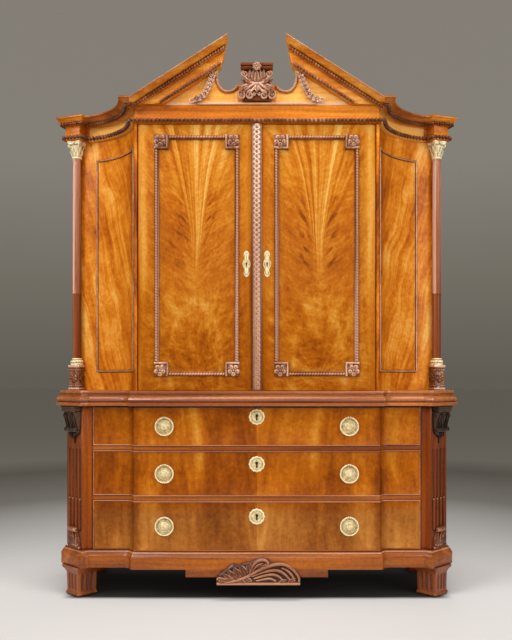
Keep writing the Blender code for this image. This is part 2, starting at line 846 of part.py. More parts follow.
def raking_cornice():
    """The right raking cornice: crown, bead, band and bead, with a slanting inner end."""
    back = -PEDIMENT_BOARD + SEAT
    crown = [(1.0, 0.0), (1.0, 0.06), (0.92, 0.09), (0.73, 0.20), (0.60, 0.27), (0.50, 0.30)]
    bead = [(1.17, 0.34), (1.03, 0.42), (0.55, 0.44)]
    band = [(1.0, 0.45), (1.0, 0.81)]
    lower_bead = [(0.90, 0.825), (1.0, 0.90), (0.83, 0.98), (0.34, 1.0)]
    section = [(back, 0.0)]
    for shape, out_most in (
        (crown, CROWN_OUT),
        (bead, RAKE_BEAD_OUT),
        (band, RAKE_BAND_OUT),
        (lower_bead, RAKE_BEAD_OUT),
    ):
        section += [(out * out_most, drop * RAKE_DROP) for out, drop in shape]
    section.append((back, RAKE_DROP))
    far = PEDIMENT_HALF - SEAT
    outer = [(far, -out, rake_top(far) - drop) for out, drop in section]
    inner = []
    for out, drop in section:
        fall = drop / (1 - RAKE_SLOPE * RAKE_UNDERCUT)
        inner.append((RAKE_INNER + RAKE_UNDERCUT * fall, -out, APEX_Z - fall))
    return loft("rake", [inner, outer], "mahogany")


def tympanum_outline():
    """The board between the raking cornices, scalloped on both sides of its crest."""
    base = FRIEZE_Z + SEAT
    floor = base + SCALLOP_FLOOR
    far = PEDIMENT_HALF - 2 * SEAT
    rake_end = RAKE_INNER + 1.4 * RAKE_UNDERCUT * RAKE_DROP
    behind = RAKE_DROP / 2
    right = [
        Vector((far, base)),
        Vector((far, max(base + RUN, rake_top(far) - behind))),
        Vector((rake_end, rake_top(rake_end) - behind)),
    ]
    steps = 10
    for i in range(steps + 1):
        a = math.pi * i / steps
        rise = SCALLOP_OUTER_RISE if i * 2 <= steps else SCALLOP_INNER_RISE
        x = SCALLOP_AT + SCALLOP_HALF * math.cos(a)
        right.append(Vector((x, floor + rise * (1 - math.sin(a)))))
    crest = [Vector((CREST_HALF, floor + SCALLOP_INNER_RISE)), Vector((CREST_HALF, base + CREST_HEIGHT))]
    return whole(right + crest)


def tympanum_fillet():
    """The moulding along the foot of the tympanum, which carries the carved bracket."""
    low = FRIEZE_Z + SEAT
    face = -TYMPANUM_FILLET_PROUD
    section = [(SEAT, 0.0), (face, 0.0), (face, 0.5), (face * 0.4, 0.8), (face * 0.4, 1.0), (SEAT, 1.0)]
    rings = []
    for x in (-TYMPANUM_FILLET_HALF, TYMPANUM_FILLET_HALF):
        rings.append([(x, y, low + rise * TYMPANUM_FILLET) for y, rise in section])
    return loft("fillet", rings, "mahogany")


def pediment(case):
    board = plate("pediment", tympanum_outline(), 0.0, PEDIMENT_BOARD, "mahogany")
    right = raking_cornice()
    left = mirrored(right, "rake_left")
    union(board, right)
    union(board, left)
    under = slab(
        "under",
        (-2 * PEDIMENT_HALF, FRONT_Y - RUN, FRIEZE_Z - PEDIMENT_HEIGHT),
        (2 * PEDIMENT_HALF, PEDIMENT_BOARD + RUN, FRIEZE_Z + SEAT),
        "oak",
    )
    cut(board, under)
    union(board, tympanum_fillet())
    attach(board, case)


def pediment_bracket(case):
    """The carved bracket between the scallops: two large scrolls, a waist, two volutes and a moulded slab."""
    # Shares of the bracket's height, half width and projection
    levels = [
        (0.00, 0.78, 0.54),
        (0.10, 0.84, 0.72),
        (0.26, 0.72, 0.80),
        (0.40, 0.52, 0.70),
        (0.48, 0.48, 0.64),
        (0.58, 0.56, 0.80),
        (0.71, 0.60, 0.92),
        (0.80, 0.58, 0.88),
        (0.845, 0.60, 0.82),
        (0.865, 0.80, 1.00),
        (1.00, 0.80, 1.00),
    ]
    foot_z = FRIEZE_Z + TYMPANUM_FILLET + 2 * SEAT
    rings = []
    for rise, wide_share, deep_share in levels:
        z = foot_z + rise * BRACKET_HEIGHT
        wide = wide_share * BRACKET_HALF
        deep = deep_share * BRACKET_PROUD
        ring = [(wide, -SEAT, z), (-wide, -SEAT, z), (-wide, -deep * 0.45, z)]
        ring += [(-wide * 0.62, -deep, z), (wide * 0.62, -deep, z), (wide, -deep * 0.45, z)]
        rings.append(ring)
    bracket = loft("pediment_bracket", rings, "carved_dark")
    volute_z = foot_z + 0.68 * BRACKET_HEIGHT
    for side in (-1, 1):
        low_at = (side * (BRACKET_HALF - LOWER_SCROLL), foot_z + LOWER_SCROLL)
        union(bracket, scroll(low_at, LOWER_SCROLL, 0.72 * BRACKET_PROUD))
        high_at = (side * 0.60 * BRACKET_HALF, volute_z)
        union(bracket, scroll(high_at, UPPER_SCROLL, 0.88 * BRACKET_PROUD))
    attach(bracket, case)


def scroll(at, radius, reach):
    """The rolled end of a scroll, seen end-on from the front, with a button in its eye."""
    profile = [
        (radius, -2 * SEAT),
        (radius, -reach),
        (radius * 0.80, -reach * 1.09),
        (radius * 0.58, -reach * 1.02),
        (radius * 0.36, -reach * 1.12),
    ]
    return turned_forward("scroll", profile, at, 14, "carved_dark")


# The columns


def column_frame():
    """Turns shapes made about the origin, front towards -y, to stand before the corner face."""
    turn = Matrix.Rotation(CORNER_TURN, 4, "Z")
    return Matrix.Translation((COLUMN_AT.x, COLUMN_AT.y, 0.0)) @ turn


def pedestals(case):
    low = UPPER_Z + SEAT
    rise = PEDESTAL_HEIGHT - SEAT
    # Shares of the pedestal's half width and height: foot, die and cap
    levels = [
        (1.07, 0.00),
        (1.07, 0.07),
        (0.96, 0.10),
        (0.96, 0.86),
        (1.04, 0.90),
        (1.11, 0.92),
        (1.11, 1.00),
    ]
    rings = [engaged_ring(wide * PEDESTAL_HALF, low + up * rise) for wide, up in levels]
    block = loft("pedestal", rings, "dark_mahogany")
    boss = scroll((0.0, low + 0.48 * rise), 0.62 * PEDESTAL_HALF, 1.03 * PEDESTAL_HALF)
    union(block, boss)
    place_pair(moved(block, column_frame()), "pedestal", case)


def engaged_ring(half, z):
    """A square that is cut off where it meets the corner face."""
    back = COLUMN_RADIUS
    return [(-half, -half, z), (half, -half, z), (half, back, z), (-half, back, z)]


def columns(case):
    """Turned columns: a lobed base, a plain lower third, a band, and a fluted shaft above it."""
    base = COLUMN_BASE_HEIGHT
    band_z = SHAFT_Z + COLUMN_BAND_RISE
    band = COLUMN_RADIUS * 0.28
    neck = COLUMN_RADIUS * 0.50
    # Share of the base's radius and height
    lower = [(1.00, 0.01), (1.00, 0.24), (0.88, 0.31), (0.97, 0.46)]
    upper = [(0.93, 0.62), (0.76, 0.76), (0.80, 0.86), (0.72, 0.97)]
    rings = []
    for share, up in lower + upper:
        rings.append(fluted_ring(share * COLUMN_BASE_RADIUS, COLUMN_Z + up * base, 0.0))
    # Share of the column's radius, height and flute depth
    levels = [
        (0.92, SHAFT_Z, 0.0),
        (0.95, band_z - band, 0.0),
        (1.00, band_z - band / 2, 0.0),
        (1.00, band_z + band / 2, 0.0),
        (0.95, band_z + band, 0.0),
        (0.95, band_z + 2 * band, COLUMN_FLUTE_DEPTH),
        (0.86, CAPITAL_Z - 2 * neck, COLUMN_FLUTE_DEPTH),
        (0.85, CAPITAL_Z - 1.5 * neck, 0.0),
        (0.84, CAPITAL_Z - neck, 0.0),
        (0.94, CAPITAL_Z - neck * 0.8, 0.0),
        (0.94, CAPITAL_Z - SEAT, 0.0),
    ]
    rings += [fluted_ring(share * COLUMN_RADIUS, z, depth) for share, z, depth in levels]
    place_pair(moved(loft("column", rings, "dark_mahogany"), column_frame()), "column", case)


def fluted_ring(radius, z, depth):
    """A ring with a groove between every two arrises, flat where it meets the corner face."""
    count = 2 * COLUMN_FLUTES
    ring = []
    for i in range(count):
        a = math.tau * i / count
        r = radius - depth * (i % 2)
        ring.append((r * math.cos(a), min(r * math.sin(a), COLUMN_RADIUS), z))
    return ring


def capitals(case):
    """Gilt capitals under the corner blocks of the hood: a necking, two rows of leaves and an abacus."""
    low = CAPITAL_Z + SEAT
    rise = CAPITAL_HEIGHT - 2 * SEAT
    # Share of the half width, share of the height, and how far the leaf tips stand out
    bell = [
        (0.60, 0.00, 0.00),
        (0.70, 0.03, 0.00),
        (0.70, 0.08, 0.00),
        (0.58, 0.11, 0.00),
        (0.66, 0.25, 0.05),
        (0.82, 0.40, 0.14),
        (0.64, 0.44, 0.02),
        (0.74, 0.60, 0.06),
        (0.90, 0.73, 0.14),
        (0.74, 0.77, 0.00),
    ]
    rings = [leaf_ring(wide * CAPITAL_HALF, low + up * rise, tips) for wide, up, tips in bell]
    for wide, up in ((0.92, 0.82), (0.92, 0.88), (1.0, 0.90), (1.0, 1.0)):
        rings.append(abacus_ring(wide * CAPITAL_HALF, low + up * rise))
    capital = loft("capital", rings, "gilt_brass")
    place_pair(moved(capital, column_frame()), "capital", case)


def leaf_ring(radius, z, tips):
    """A round of leaves, flat where it meets the corner face."""
    count = 3 * CAPITAL_LEAVES
    ring = []
    for i in range(count):
        a = math.tau * i / count
        r = radius * (1 + tips * math.cos(CAPITAL_LEAVES * a))
        ring.append((r * math.cos(a), min(r * math.sin(a), COLUMN_RADIUS), z))
    return ring


def abacus_ring(half, z):
    """A square with hollowed sides, flat where it meets the corner face."""
    count = 3 * CAPITAL_LEAVES
    ring = []
    for i in range(count):
        a = math.tau * i / count
        r = half / max(abs(math.cos(a)), abs(math.sin(a)))
        r *= 1 - 0.12 * math.cos(2 * a) ** 2
        ring.append((r * math.cos(a), min(r * math.sin(a), COLUMN_RADIUS), z))
    return ring


# The doors


def door_board(name, free_x):
    """A right-hand door whose outer edge is rounded about its pivots."""
    half = DOOR_THICKNESS / 2
    edge = arc(PIVOT, half, -math.pi / 2, math.pi / 2, ARC_STEPS)
    outline = [Vector((free_x, 0.0))] + edge + [Vector((free_x, DOOR_THICKNESS))]
    board = prism(name, outline, DOOR_BOTTOM, DOOR_TOP, "mahogany")
    for end in (DOOR_BOTTOM, DOOR_TOP):
        pin = [(PIVOT_RADIUS, end - PIVOT_LENGTH), (PIVOT_RADIUS, end + PIVOT_LENGTH)]
        union(board, turned("pin", pin, PIVOT, 16, "mahogany"))
    return board


def door_frame(name):
    """The applied frame of a right-hand door: a rounded moulding with carved squares at its corners."""
    left = FRAME_INNER_MARGIN + MEETING_X
    right = DOOR_HALF - FRAME_OUTER_MARGIN
    low = UPPER_Z + FRAME_BOTTOM_MARGIN
    high = HOOD_Z - FRAME_TOP_MARGIN
    section = [
        (0.000, 0.000),
        (0.000, 0.5),
        (0.25, 1.0),
        (0.60, 0.8),
        (1.000, 0.45),
        (1.000, 0.000),
    ]
    rings = []
    for across, proud in section:
        d = across * FRAME_WIDTH
        y = -SEAT - proud * FRAME_PROUD
        corners = ((left + d, low + d), (right - d, low + d), (right - d, high - d), (left + d, high - d))
        rings.append([(x, y, z) for x, z in corners])
    frame = closed_loft(name, rings, "dark_mahogany")
    step = FRAME_SQUARE - RUN
    for x in (left - RUN, right - step):
        for z in (low - RUN, high - step):
            union(frame, corner_square(x, z))
    return frame


def corner_square(x, z):
    edge = 0.006
    rings = []
    for inset, proud in ((0.0, 0.0), (0.0, FRAME_SQUARE_PROUD - 0.004), (edge, FRAME_SQUARE_PROUD)):
        a = inset
        b = FRAME_SQUARE - inset
        y = -2 * SEAT - proud
        rings.append([(x + a, y, z + a), (x + b, y, z + a), (x + b, y, z + b), (x + a, y, z + b)])
    return loft("square", rings, "dark_mahogany")


def closed_loft(name, rings, material):
    """A solid through rings that closes on itself, with no ends."""
    count = len(rings[0])
    vertices = [point for ring in rings for point in ring]
    faces = []
    for k in range(len(rings)):
        here = k * count
        there = (k + 1) % len(rings) * count
        for i in range(count):
            j = (i + 1) % count
            faces.append((here + i, here + j, there + j, there + i))
    return solid(name, vertices, faces, material)


def astragal():
    """The rounded cover strip on the right door."""
    half = ASTRAGAL_HALF
    lip = ASTRAGAL_PROUD * 0.4
    steps = 8
    outline = [(half, -SEAT), (-half, -SEAT), (-half, -lip)]
    for i in range(steps + 1):
        a = math.pi * i / steps
        outline.append((-half * 0.8 * math.cos(a), -lip - (ASTRAGAL_PROUD - lip) * math.sin(a)))
    outline.append((half, -lip))
    return prism("astragal", outline, DOOR_BOTTOM, DOOR_TOP, "dark_mahogany")


def keyhole(x, z, front, back):
    """A cutter: a round hole over a short slot."""
    hole = 0.0042
    slot = 0.0018
    drop = 0.013
    outline = []
    for i in range(9):
        a = math.radians(-55 + 290 * i / 8)
        outline.append((x + hole * math.cos(a), z + hole * math.sin(a)))
    outline += [(x - slot, z - drop), (x + slot, z - drop)]
    return plate("keyhole", outline, front, back, "oak")


def door_escutcheon(name, x):
    """A tall brass key plate, waisted and crested."""
    middle = UPPER_Z + ESCUTCHEON_RISE
    half = ESCUTCHEON_HEIGHT / 2
    wide = ESCUTCHEON_WIDTH / 2
    steps = 24
    right = []
    for i in range(1, steps):
        t = -1 + 2 * i / steps
        swell = math.sqrt(1 - t * t)
        outline_width = wide * swell * (0.80 + 0.20 * math.cos(2.5 * math.pi * t))
        right.append((x + outline_width, middle + half * t))
    left = [(2 * x - px, pz) for px, pz in reversed(right)]
    key_plate = plate(name, right + left, -SEAT - ESCUTCHEON_THICKNESS, -SEAT, "gilt_brass")
    return cut(key_plate, keyhole(x, middle, -2 * ESCUTCHEON_THICKNESS, RUN))


def doors(press):
    half_gap = RUN / 2
    right_axis = empty("door_right_axis", (PIVOT.x, PIVOT.y, DOOR_BOTTOM), press)
    left_axis = empty("door_left_axis", (-PIVOT.x, PIVOT.y, DOOR_BOTTOM), press)
    attach(door_board("door_right", MEETING_X + half_gap), right_axis)
    attach(mirrored_once(door_board("door", half_gap - MEETING_X), "door_left"), left_axis)
    attach(door_frame("door_frame_right"), right_axis)
    attach(mirrored_once(door_frame("frame"), "door_frame_left"), left_axis)
    attach(astragal(), right_axis)
    reach = ASTRAGAL_HALF + ESCUTCHEON_IN
    attach(door_escutcheon("door_escutcheon_right", reach), right_axis)
    attach(door_escutcheon("door_escutcheon_left", -reach), left_axis)


def mirrored_once(thing, name):
    other = mirrored(thing, name)
    bpy.data.objects.remove(thing)
    return other


# The drawers


def drawer_front(name, low, high):
    """A front that follows the breakfront, with a cock-bead round its edge."""
    end_x = DRAWER_HALF - RUN
    bead_x = end_x - COCK_BEAD
    step = SEAT

    def ring(z, proud):
        right = breakfront(0.0)
        right = [Vector((p.x, p.y - proud)) for p in right]
        right += [(bead_x - step, WING_Y - proud), (bead_x, WING_Y - COCK_BEAD_PROUD)]
        right += [(end_x, WING_Y - COCK_BEAD_PROUD), (end_x, DRAWER_BACK_Y)]
        return [(p.x, p.y, z) for p in whole(right)]

    bead = COCK_BEAD_PROUD
    levels = [
        (low, bead),
        (low + COCK_BEAD, bead),
        (low + COCK_BEAD + step, 0.0),
        (high - COCK_BEAD - step, 0.0),
        (high - COCK_BEAD, bead),
        (high, bead),
    ]
    return loft(name, [ring(z, proud) for z, proud in levels], "mahogany")


def drawer_box(name, floor, high):
    half = DRAWER_HALF - BOX_SIDE_GAP
    front = DRAWER_BACK_Y + SEAT
    back = front + BOX_DEPTH
    box = slab(name, (-half, front, floor), (half, back, high), "oak")
    room = slab(
        "room",
        (-half + BOX_SIDE, front + BOX_SIDE, floor + BOX_BOTTOM),
        (half - BOX_SIDE, back - BOX_SIDE, high + RUN),
        "oak",
    )
    return cut(box, room)


def key_plate(name, z):
    """A round scalloped brass key plate with a raised rim."""
    count = KEY_PLATE_LOBES * 3
    face = CENTRE_Y - SEAT

    def ring(scale, y):
        points = []
        for i in range(count):
            a = math.tau * i / count
            r = KEY_PLATE_RADIUS * scale * (1 - 0.07 * (1 - abs(math.cos(a * KEY_PLATE_LOBES / 2))))
            points.append((r * math.cos(a), y, z + r * math.sin(a)))
        return points

    rings = [ring(1.0, face), ring(1.0, face - 0.0015), ring(0.86, face - 0.004), ring(0.70, face - 0.0022)]
    shield = loft(name, rings, "gilt_brass")
    return cut(shield, keyhole(0.0, z, face - 0.010, face + 0.010))


def ring_axis_y():
    return CENTRE_Y - SEAT - PULL_PLATE_THICKNESS - RING_OFF


def ring_axis_z(z):
    """The straight top facet of the ring turns in the lug."""
    return z + RING_RADIUS * math.cos(math.pi / RING_FACETS)


def pull_plate(name, x, z):
    """A dished round plate with a domed boss and the lug that holds the ring."""
    face = CENTRE_Y - SEAT
    thick = PULL_PLATE_THICKNESS
    r = PULL_PLATE_RADIUS
    profile = [
        (r, face),
        (r, face - thick * 0.5),
        (r * 0.92, face - thick),
        (r * 0.70, face - thick * 0.7),
        (r * 0.62, face - thick),
        (r * 0.42, face - thick - PULL_BOSS * 0.70),
        (r * 0.16, face - thick - PULL_BOSS),
    ]
    disc = turned_forward(name, profile, (x, z), 16, "gilt_brass")
    axis_z = ring_axis_z(z)
    lug = slab(
        "lug",
        (x - LUG_HALF, ring_axis_y() - LUG_REACH, axis_z - LUG_REACH - RING_WIRE),
        (x + LUG_HALF, face - thick * 0.2, axis_z + LUG_REACH),
        "gilt_brass",
    )
    union(disc, lug)
    bore = RING_WIRE + PIVOT_CLEARANCE
    hole = turned("hole", [(bore, -2 * LUG_HALF), (bore, 2 * LUG_HALF)], (0.0, 0.0), 12, "gilt_brass")
    lay_down = Matrix.Rotation(math.radians(90), 4, "Y")
    moved(hole, Matrix.Translation((x, ring_axis_y(), axis_z)) @ lay_down)
    return cut(disc, hole)


def pull_ring(name, x, z):
    wire = 6
    rings = []
    for i in range(RING_FACETS):
        a = math.pi / 2 + math.tau * (i + 0.5) / RING_FACETS
        ring = []
        for k in range(wire):
            b = math.tau * (k + 0.5) / wire
            reach = RING_RADIUS + RING_WIRE * math.cos(b)
            y = ring_axis_y() + RING_WIRE * math.sin(b)
            ring.append((x + reach * math.cos(a), y, z + reach * math.sin(a)))
        rings.append(ring)
    return closed_loft(name, rings, "gilt_brass")


def drawers(press):
    z = CHEST_Z
    for name, height in DRAWER_HEIGHTS.items():
        floor = z + SEAT + (BOTTOM_BOARD + SEAT if name == "lower" else 0.0)
        axis = empty("drawer_" + name + "_slide", (0.0, WING_Y, z), press)
        middle = z + height / 2
        attach(drawer_front("drawer_front_" + name, z + RUN, z + height - RUN), axis)
        attach(drawer_box("drawer_box_" + name, floor, z + height - BOX_HEADROOM), axis)
        attach(key_plate("key_plate_" + name, middle + KEY_PLATE_LIFT), axis)
        pull_x = CENTRE_HALF - PULL_IN
        for side, x in (("left", -pull_x), ("right", pull_x)):
            attach(pull_plate("pull_plate_" + name + "_" + side, x, middle), axis)
            hung = (x, ring_axis_y(), ring_axis_z(middle))
            swing = empty("ring_" + name + "_" + side + "_axis", hung, press)
            attach(pull_ring("pull_ring_" + name + "_" + side, x, middle), swing)
        z += height + RAIL_HEIGHT


def main():
    clear_scene()
    press = empty("linen_press", (0.0, -(FRONT_Y + BACK_Y) / 2, 0.0))
    case = empty("case", (0.0, 0.0, 0.0), press)
    waist_board(case)
    chest_carcase(case)
    corner_posts(case)
    consoles(case)
    plinth(case)
    front_feet(case)
    back_feet(case)
    cupboard_walls(case)
    hood(case)
    pediment(case)
    pediment_bracket(case)
    pedestals(case)
    columns(case)
    capitals(case)
    doors(press)
    drawers(press)


main()
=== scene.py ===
"""The looks of the linen press: veneers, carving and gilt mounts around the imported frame.

Metres, in the frame's own axes: x to the right, the front faces -y, z up.
"""

import json
from functools import partialmethod
from math import asin, atan2, cos, pi, radians, sin, sqrt, tau

import bmesh
import bpy
from mathutils import Matrix, Vector

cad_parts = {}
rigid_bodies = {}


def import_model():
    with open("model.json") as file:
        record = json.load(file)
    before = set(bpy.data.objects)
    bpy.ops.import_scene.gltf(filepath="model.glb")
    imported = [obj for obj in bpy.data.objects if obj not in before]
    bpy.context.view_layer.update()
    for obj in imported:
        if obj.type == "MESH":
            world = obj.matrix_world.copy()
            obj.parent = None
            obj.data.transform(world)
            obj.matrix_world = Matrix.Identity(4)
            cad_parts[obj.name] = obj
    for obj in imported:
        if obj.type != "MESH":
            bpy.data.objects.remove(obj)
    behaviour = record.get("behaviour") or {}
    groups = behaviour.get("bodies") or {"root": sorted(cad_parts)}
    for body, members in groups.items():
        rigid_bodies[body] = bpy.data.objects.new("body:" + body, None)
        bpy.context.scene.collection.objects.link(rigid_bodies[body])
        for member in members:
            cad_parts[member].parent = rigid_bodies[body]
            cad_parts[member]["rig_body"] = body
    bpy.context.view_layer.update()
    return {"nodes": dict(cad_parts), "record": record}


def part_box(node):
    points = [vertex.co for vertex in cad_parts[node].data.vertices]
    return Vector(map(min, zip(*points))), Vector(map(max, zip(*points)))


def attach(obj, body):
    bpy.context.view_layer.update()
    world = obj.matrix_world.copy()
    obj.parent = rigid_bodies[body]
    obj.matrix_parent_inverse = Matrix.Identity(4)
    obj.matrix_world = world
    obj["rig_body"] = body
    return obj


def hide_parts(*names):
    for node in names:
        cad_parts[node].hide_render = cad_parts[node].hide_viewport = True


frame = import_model()
NODES = frame["nodes"]
SLOTS = {part["node"]: part["material_slot"] for part in frame["record"]["subparts"]}

X = Vector((1, 0, 0))
Y = Vector((0, 1, 0))
Z = Vector((0, 0, 1))
HANDS = (-1, 1)
SIDES = (("left", -1), ("right", 1))
DRAWERS = ("lower", "middle", "upper")

# Levels and planes read from the frame
DOOR_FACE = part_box("door_right")[0].y
WAIST_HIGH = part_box("waist_board")[1].z
HOOD_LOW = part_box("entablature")[0].z
HOOD_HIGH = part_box("entablature")[1].z
CHEST_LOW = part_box("plinth")[1].z
FRIEZE_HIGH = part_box("pediment")[0].z
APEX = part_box("pediment")[1].z
PLINTH_FACE = DOOR_FACE - 0.04


# Camera, floor and light

CAMERA_HEIGHT = 0.982
CAMERA_DISTANCE = 3.448
LENS = 54.9
SENSOR = 36
HORIZON_DROP = 56 / 512
SIDE_SHIFT = -0.8 / 512
LAMPS_AIM = Vector((0, 0, 1.2))
WARM = (1, 0.97, 0.93)
NEUTRAL = (1, 0.99, 0.97)
# Lamps: name, place, width and height, power, colour, whether polished faces mirror it
LAMPS = (
    ("key", (-3.1, -3, 3.5), (2, 1.8), 112, WARM, True),
    ("fill", (3.4, -3.2, 2.3), (2, 2.2), 86, WARM, True),
    ("front", (0, -5.8, 2.2), (3, 2), 80, NEUTRAL, False),
    ("top", (0, -1.5, 4.7), (3.4, 1.4), 84, NEUTRAL, True),
    ("back", (0.6, 3.4, 3.2), (2.4, 1.8), 42, NEUTRAL, False),
)
# Stops of a run of colour: place, red, green, blue
BACKDROP = (
    (0, 0.12, 0.108, 0.088), (0.12, 0.17, 0.155, 0.128),
    (0.26, 0.235, 0.215, 0.185), (1, 0.225, 0.2, 0.172),
)
# The floor's run of colour is a painted pool of light: pale by the press, dark far off
FLOOR = (
    (0, 0.735, 0.742, 0.75), (0.2, 0.65, 0.64, 0.63), (0.34, 0.43, 0.418, 0.405),
    (0.5, 0.2, 0.19, 0.17), (0.8, 0.15, 0.14, 0.115), (1, 0.27, 0.25, 0.205),
)
FLOOR_REACH = 6
# The shade under the press: its colour and depth, where it fades at the ends and at the front
UNDER_PRESS = (0.014, 0.014, 0.011, 1)
SHADE_DEPTH = 0.97
SHADE_ENDS = (0.88, 0.8)
SHADE_MIDDLE = 0.03
SHADE_FRONT = (0.31, 0.26)
AROUND = {"Color": (1, 0.98, 0.95, 1), "Strength": 0.4}
MIRRORED = {"Color": (0.16, 0.15, 0.14, 1)}


def placed(name, data):
    """A new object in the scene."""
    thing = bpy.data.objects.new(name, data)
    bpy.context.scene.collection.objects.link(thing)
    return thing


def camera():
    data = bpy.data.cameras.new("camera")
    data.sensor_fit = "HORIZONTAL"
    data.sensor_width = SENSOR
    data.lens = LENS
    data.shift_x = SIDE_SHIFT
    data.shift_y = HORIZON_DROP
    eye = placed("camera", data)
    eye.location = (0, DOOR_FACE - CAMERA_DISTANCE, CAMERA_HEIGHT)
    eye.rotation_euler = (radians(90), 0, 0)
    bpy.context.scene.camera = eye


def studio():
    for name, at, size, power, colour, mirrored in LAMPS:
        data = bpy.data.lights.new(name, "AREA")
        data.shape = "RECTANGLE"
        data.size, data.size_y = size
        data.energy = power
        data.color = colour
        light = placed(name, data)
        light.location = at
        light.visible_glossy = mirrored
        light.rotation_euler = (LAMPS_AIM - Vector(at)).to_track_quat("-Z", "Y").to_euler()


def world():
    """A backdrop for the camera, a dim room for polished faces and an even glow for the rest."""
    scene_world = bpy.data.worlds.new("studio")
    bpy.context.scene.world = scene_world
    scene_world.use_nodes = True
    tree = scene_world.node_tree
    tree.nodes.clear()
    path = made(tree, "LightPath")
    split = made(tree, "SeparateXYZ", (made(tree, "TexCoord").outputs["Generated"],))
    shown = made(tree, "Background", {"Color": colour_ramp(tree, split.outputs["Z"], BACKDROP)})
    result = made(tree, "Background", AROUND).outputs[0]
    for ray, seen in (("Is Glossy Ray", made(tree, "Background", MIRRORED)), ("Is Camera Ray", shown)):
        result = made(tree, "MixShader", (path.outputs[ray], result, seen.outputs[0])).outputs[0]
    made(tree, "OutputWorld", {"Surface": result})


def floor():
    """A floor with a painted pool of light, pale round the press and darkening with distance, and a deep
    painted shade under the press.
    """
    bpy.ops.mesh.primitive_circle_add(vertices=96, radius=60, fill_type="NGON")
    ground = bpy.context.object
    ground.name = "studio_floor"
    material, tree, shader, (x, y, _) = surface("floor")
    far = (x * x + y * y) ** 0.5 / FLOOR_REACH
    under = x.size().step(*SHADE_ENDS) * (y - SHADE_MIDDLE).size().step(*SHADE_FRONT) * SHADE_DEPTH
    shade = mixed(tree, under, colour_ramp(tree, far, FLOOR), UNDER_PRESS)
    fill(tree, shader, {"Base Color": shade, "Roughness": 0.8, "Specular IOR Level": 0.1})
    ground.data.materials.append(material)


# Shader arithmetic


def feed(tree, value, slot):
    """Links a field or a socket to a slot, or sets the slot to a plain value."""
    if isinstance(value, Field):
        value = value.socket
    if isinstance(value, bpy.types.NodeSocket):
        tree.links.new(value, slot)
    else:
        slot.default_value = value


def fill(tree, node, values):
    for name, value in values.items():
        feed(tree, value, node.inputs[name])


def made(tree, kind, values=()):
    """A new shader node, its inputs fed by name or in order."""
    node = tree.nodes.new("ShaderNode" + kind)
    fill(tree, node, values if isinstance(values, dict) else dict(enumerate(values)))
    return node


def colour_ramp(tree, value, stops):
    """A colour socket that runs through the stops as the value goes from 0 to 1."""
    node = made(tree, "ValToRGB", (value,))
    elements = node.color_ramp.elements
    for i, (place, *colour) in enumerate(stops):
        stop = elements[i] if i < 2 else elements.new(place)
        stop.position = place
        stop.color = (*colour, 1)
    return node.outputs["Color"]


def mixed(tree, share, low, high):
    """One colour going over to another by a share."""
    node = made(tree, "Mix")
    node.data_type = "RGBA"
    fill(tree, node, {"Factor": share, 6: low, 7: high})
    return node.outputs[2]


class Field:
    """A number at each point of a surface, made of shader nodes by plain arithmetic."""

    def __init__(self, tree, socket):
        self.tree = tree
        self.socket = socket

    def combined(self, operation, *others):
        node = made(self.tree, "Math", (self, *others))
        node.operation = operation
        return Field(self.tree, node.outputs[0])

    __add__ = partialmethod(combined, "ADD")
    __sub__ = partialmethod(combined, "SUBTRACT")
    __mul__ = partialmethod(combined, "MULTIPLY")
    __truediv__ = partialmethod(combined, "DIVIDE")
    __pow__ = partialmethod(combined, "POWER")
    size = partialmethod(combined, "ABSOLUTE")
    sign = partialmethod(combined, "SIGN")
    least = partialmethod(combined, "MAXIMUM")

    def step(self, low, high):
        """0 at low and before it, 1 at high and past it, smooth between them."""
        node = made(self.tree, "MapRange", {"Value": self, "From Min": low, "From Max": high})
        node.interpolation_type = "SMOOTHSTEP"
        return Field(self.tree, node.outputs["Result"])

    def bell(self, width):
        """1 where the value is 0, falling away on both sides."""
        return ((self / width) ** 2 * -1).combined("EXPONENT")


def swung(rest, *parts):
    """A value at rest, swung by fields about 0.5, each times its weight."""
    total = rest - 0.5 * sum(weight for _, weight in parts)
    for field, weight in parts:
        total = field * weight + total
    return total


def cloud(x, y, z, detail=2, rough=0.5):
    """Smooth noise about 0.5 at a point whose coordinates are already scaled."""
    point = made(x.tree, "CombineXYZ", (x, y, z)).outputs[0]
    noise = {"Vector": point, "Scale": 1, "Detail": detail, "Roughness": rough}
    return Field(x.tree, made(x.tree, "TexNoise", noise).outputs["Fac"])


def surface(name):
    """A new material with its shader and the coordinates of the piece."""
    material = bpy.data.materials.new(name)
    material.use_nodes = True
    tree = material.node_tree
    split = made(tree, "SeparateXYZ", (made(tree, "TexCoord").outputs["Object"],))
    return material, tree, tree.nodes["Principled BSDF"], [Field(tree, socket) for socket in split.outputs]


def relief(tree, shader, height, depth):
    bump = made(tree, "Bump", {"Strength": 1, "Distance": depth, "Height": height})
    fill(tree, shader, {"Normal": bump.outputs["Normal"]})


def edges(tree):
    """Over 0.5 on an edge, under it in a hollow."""
    return Field(tree, made(tree, "NewGeometry").outputs["Pointiness"])


def openness(tree, reach):
    """1 on open faces, less in hollows narrower than the reach."""
    node = made(tree, "AmbientOcclusion", {"Distance": reach})
    node.samples = 8
    return Field(tree, node.outputs["AO"])
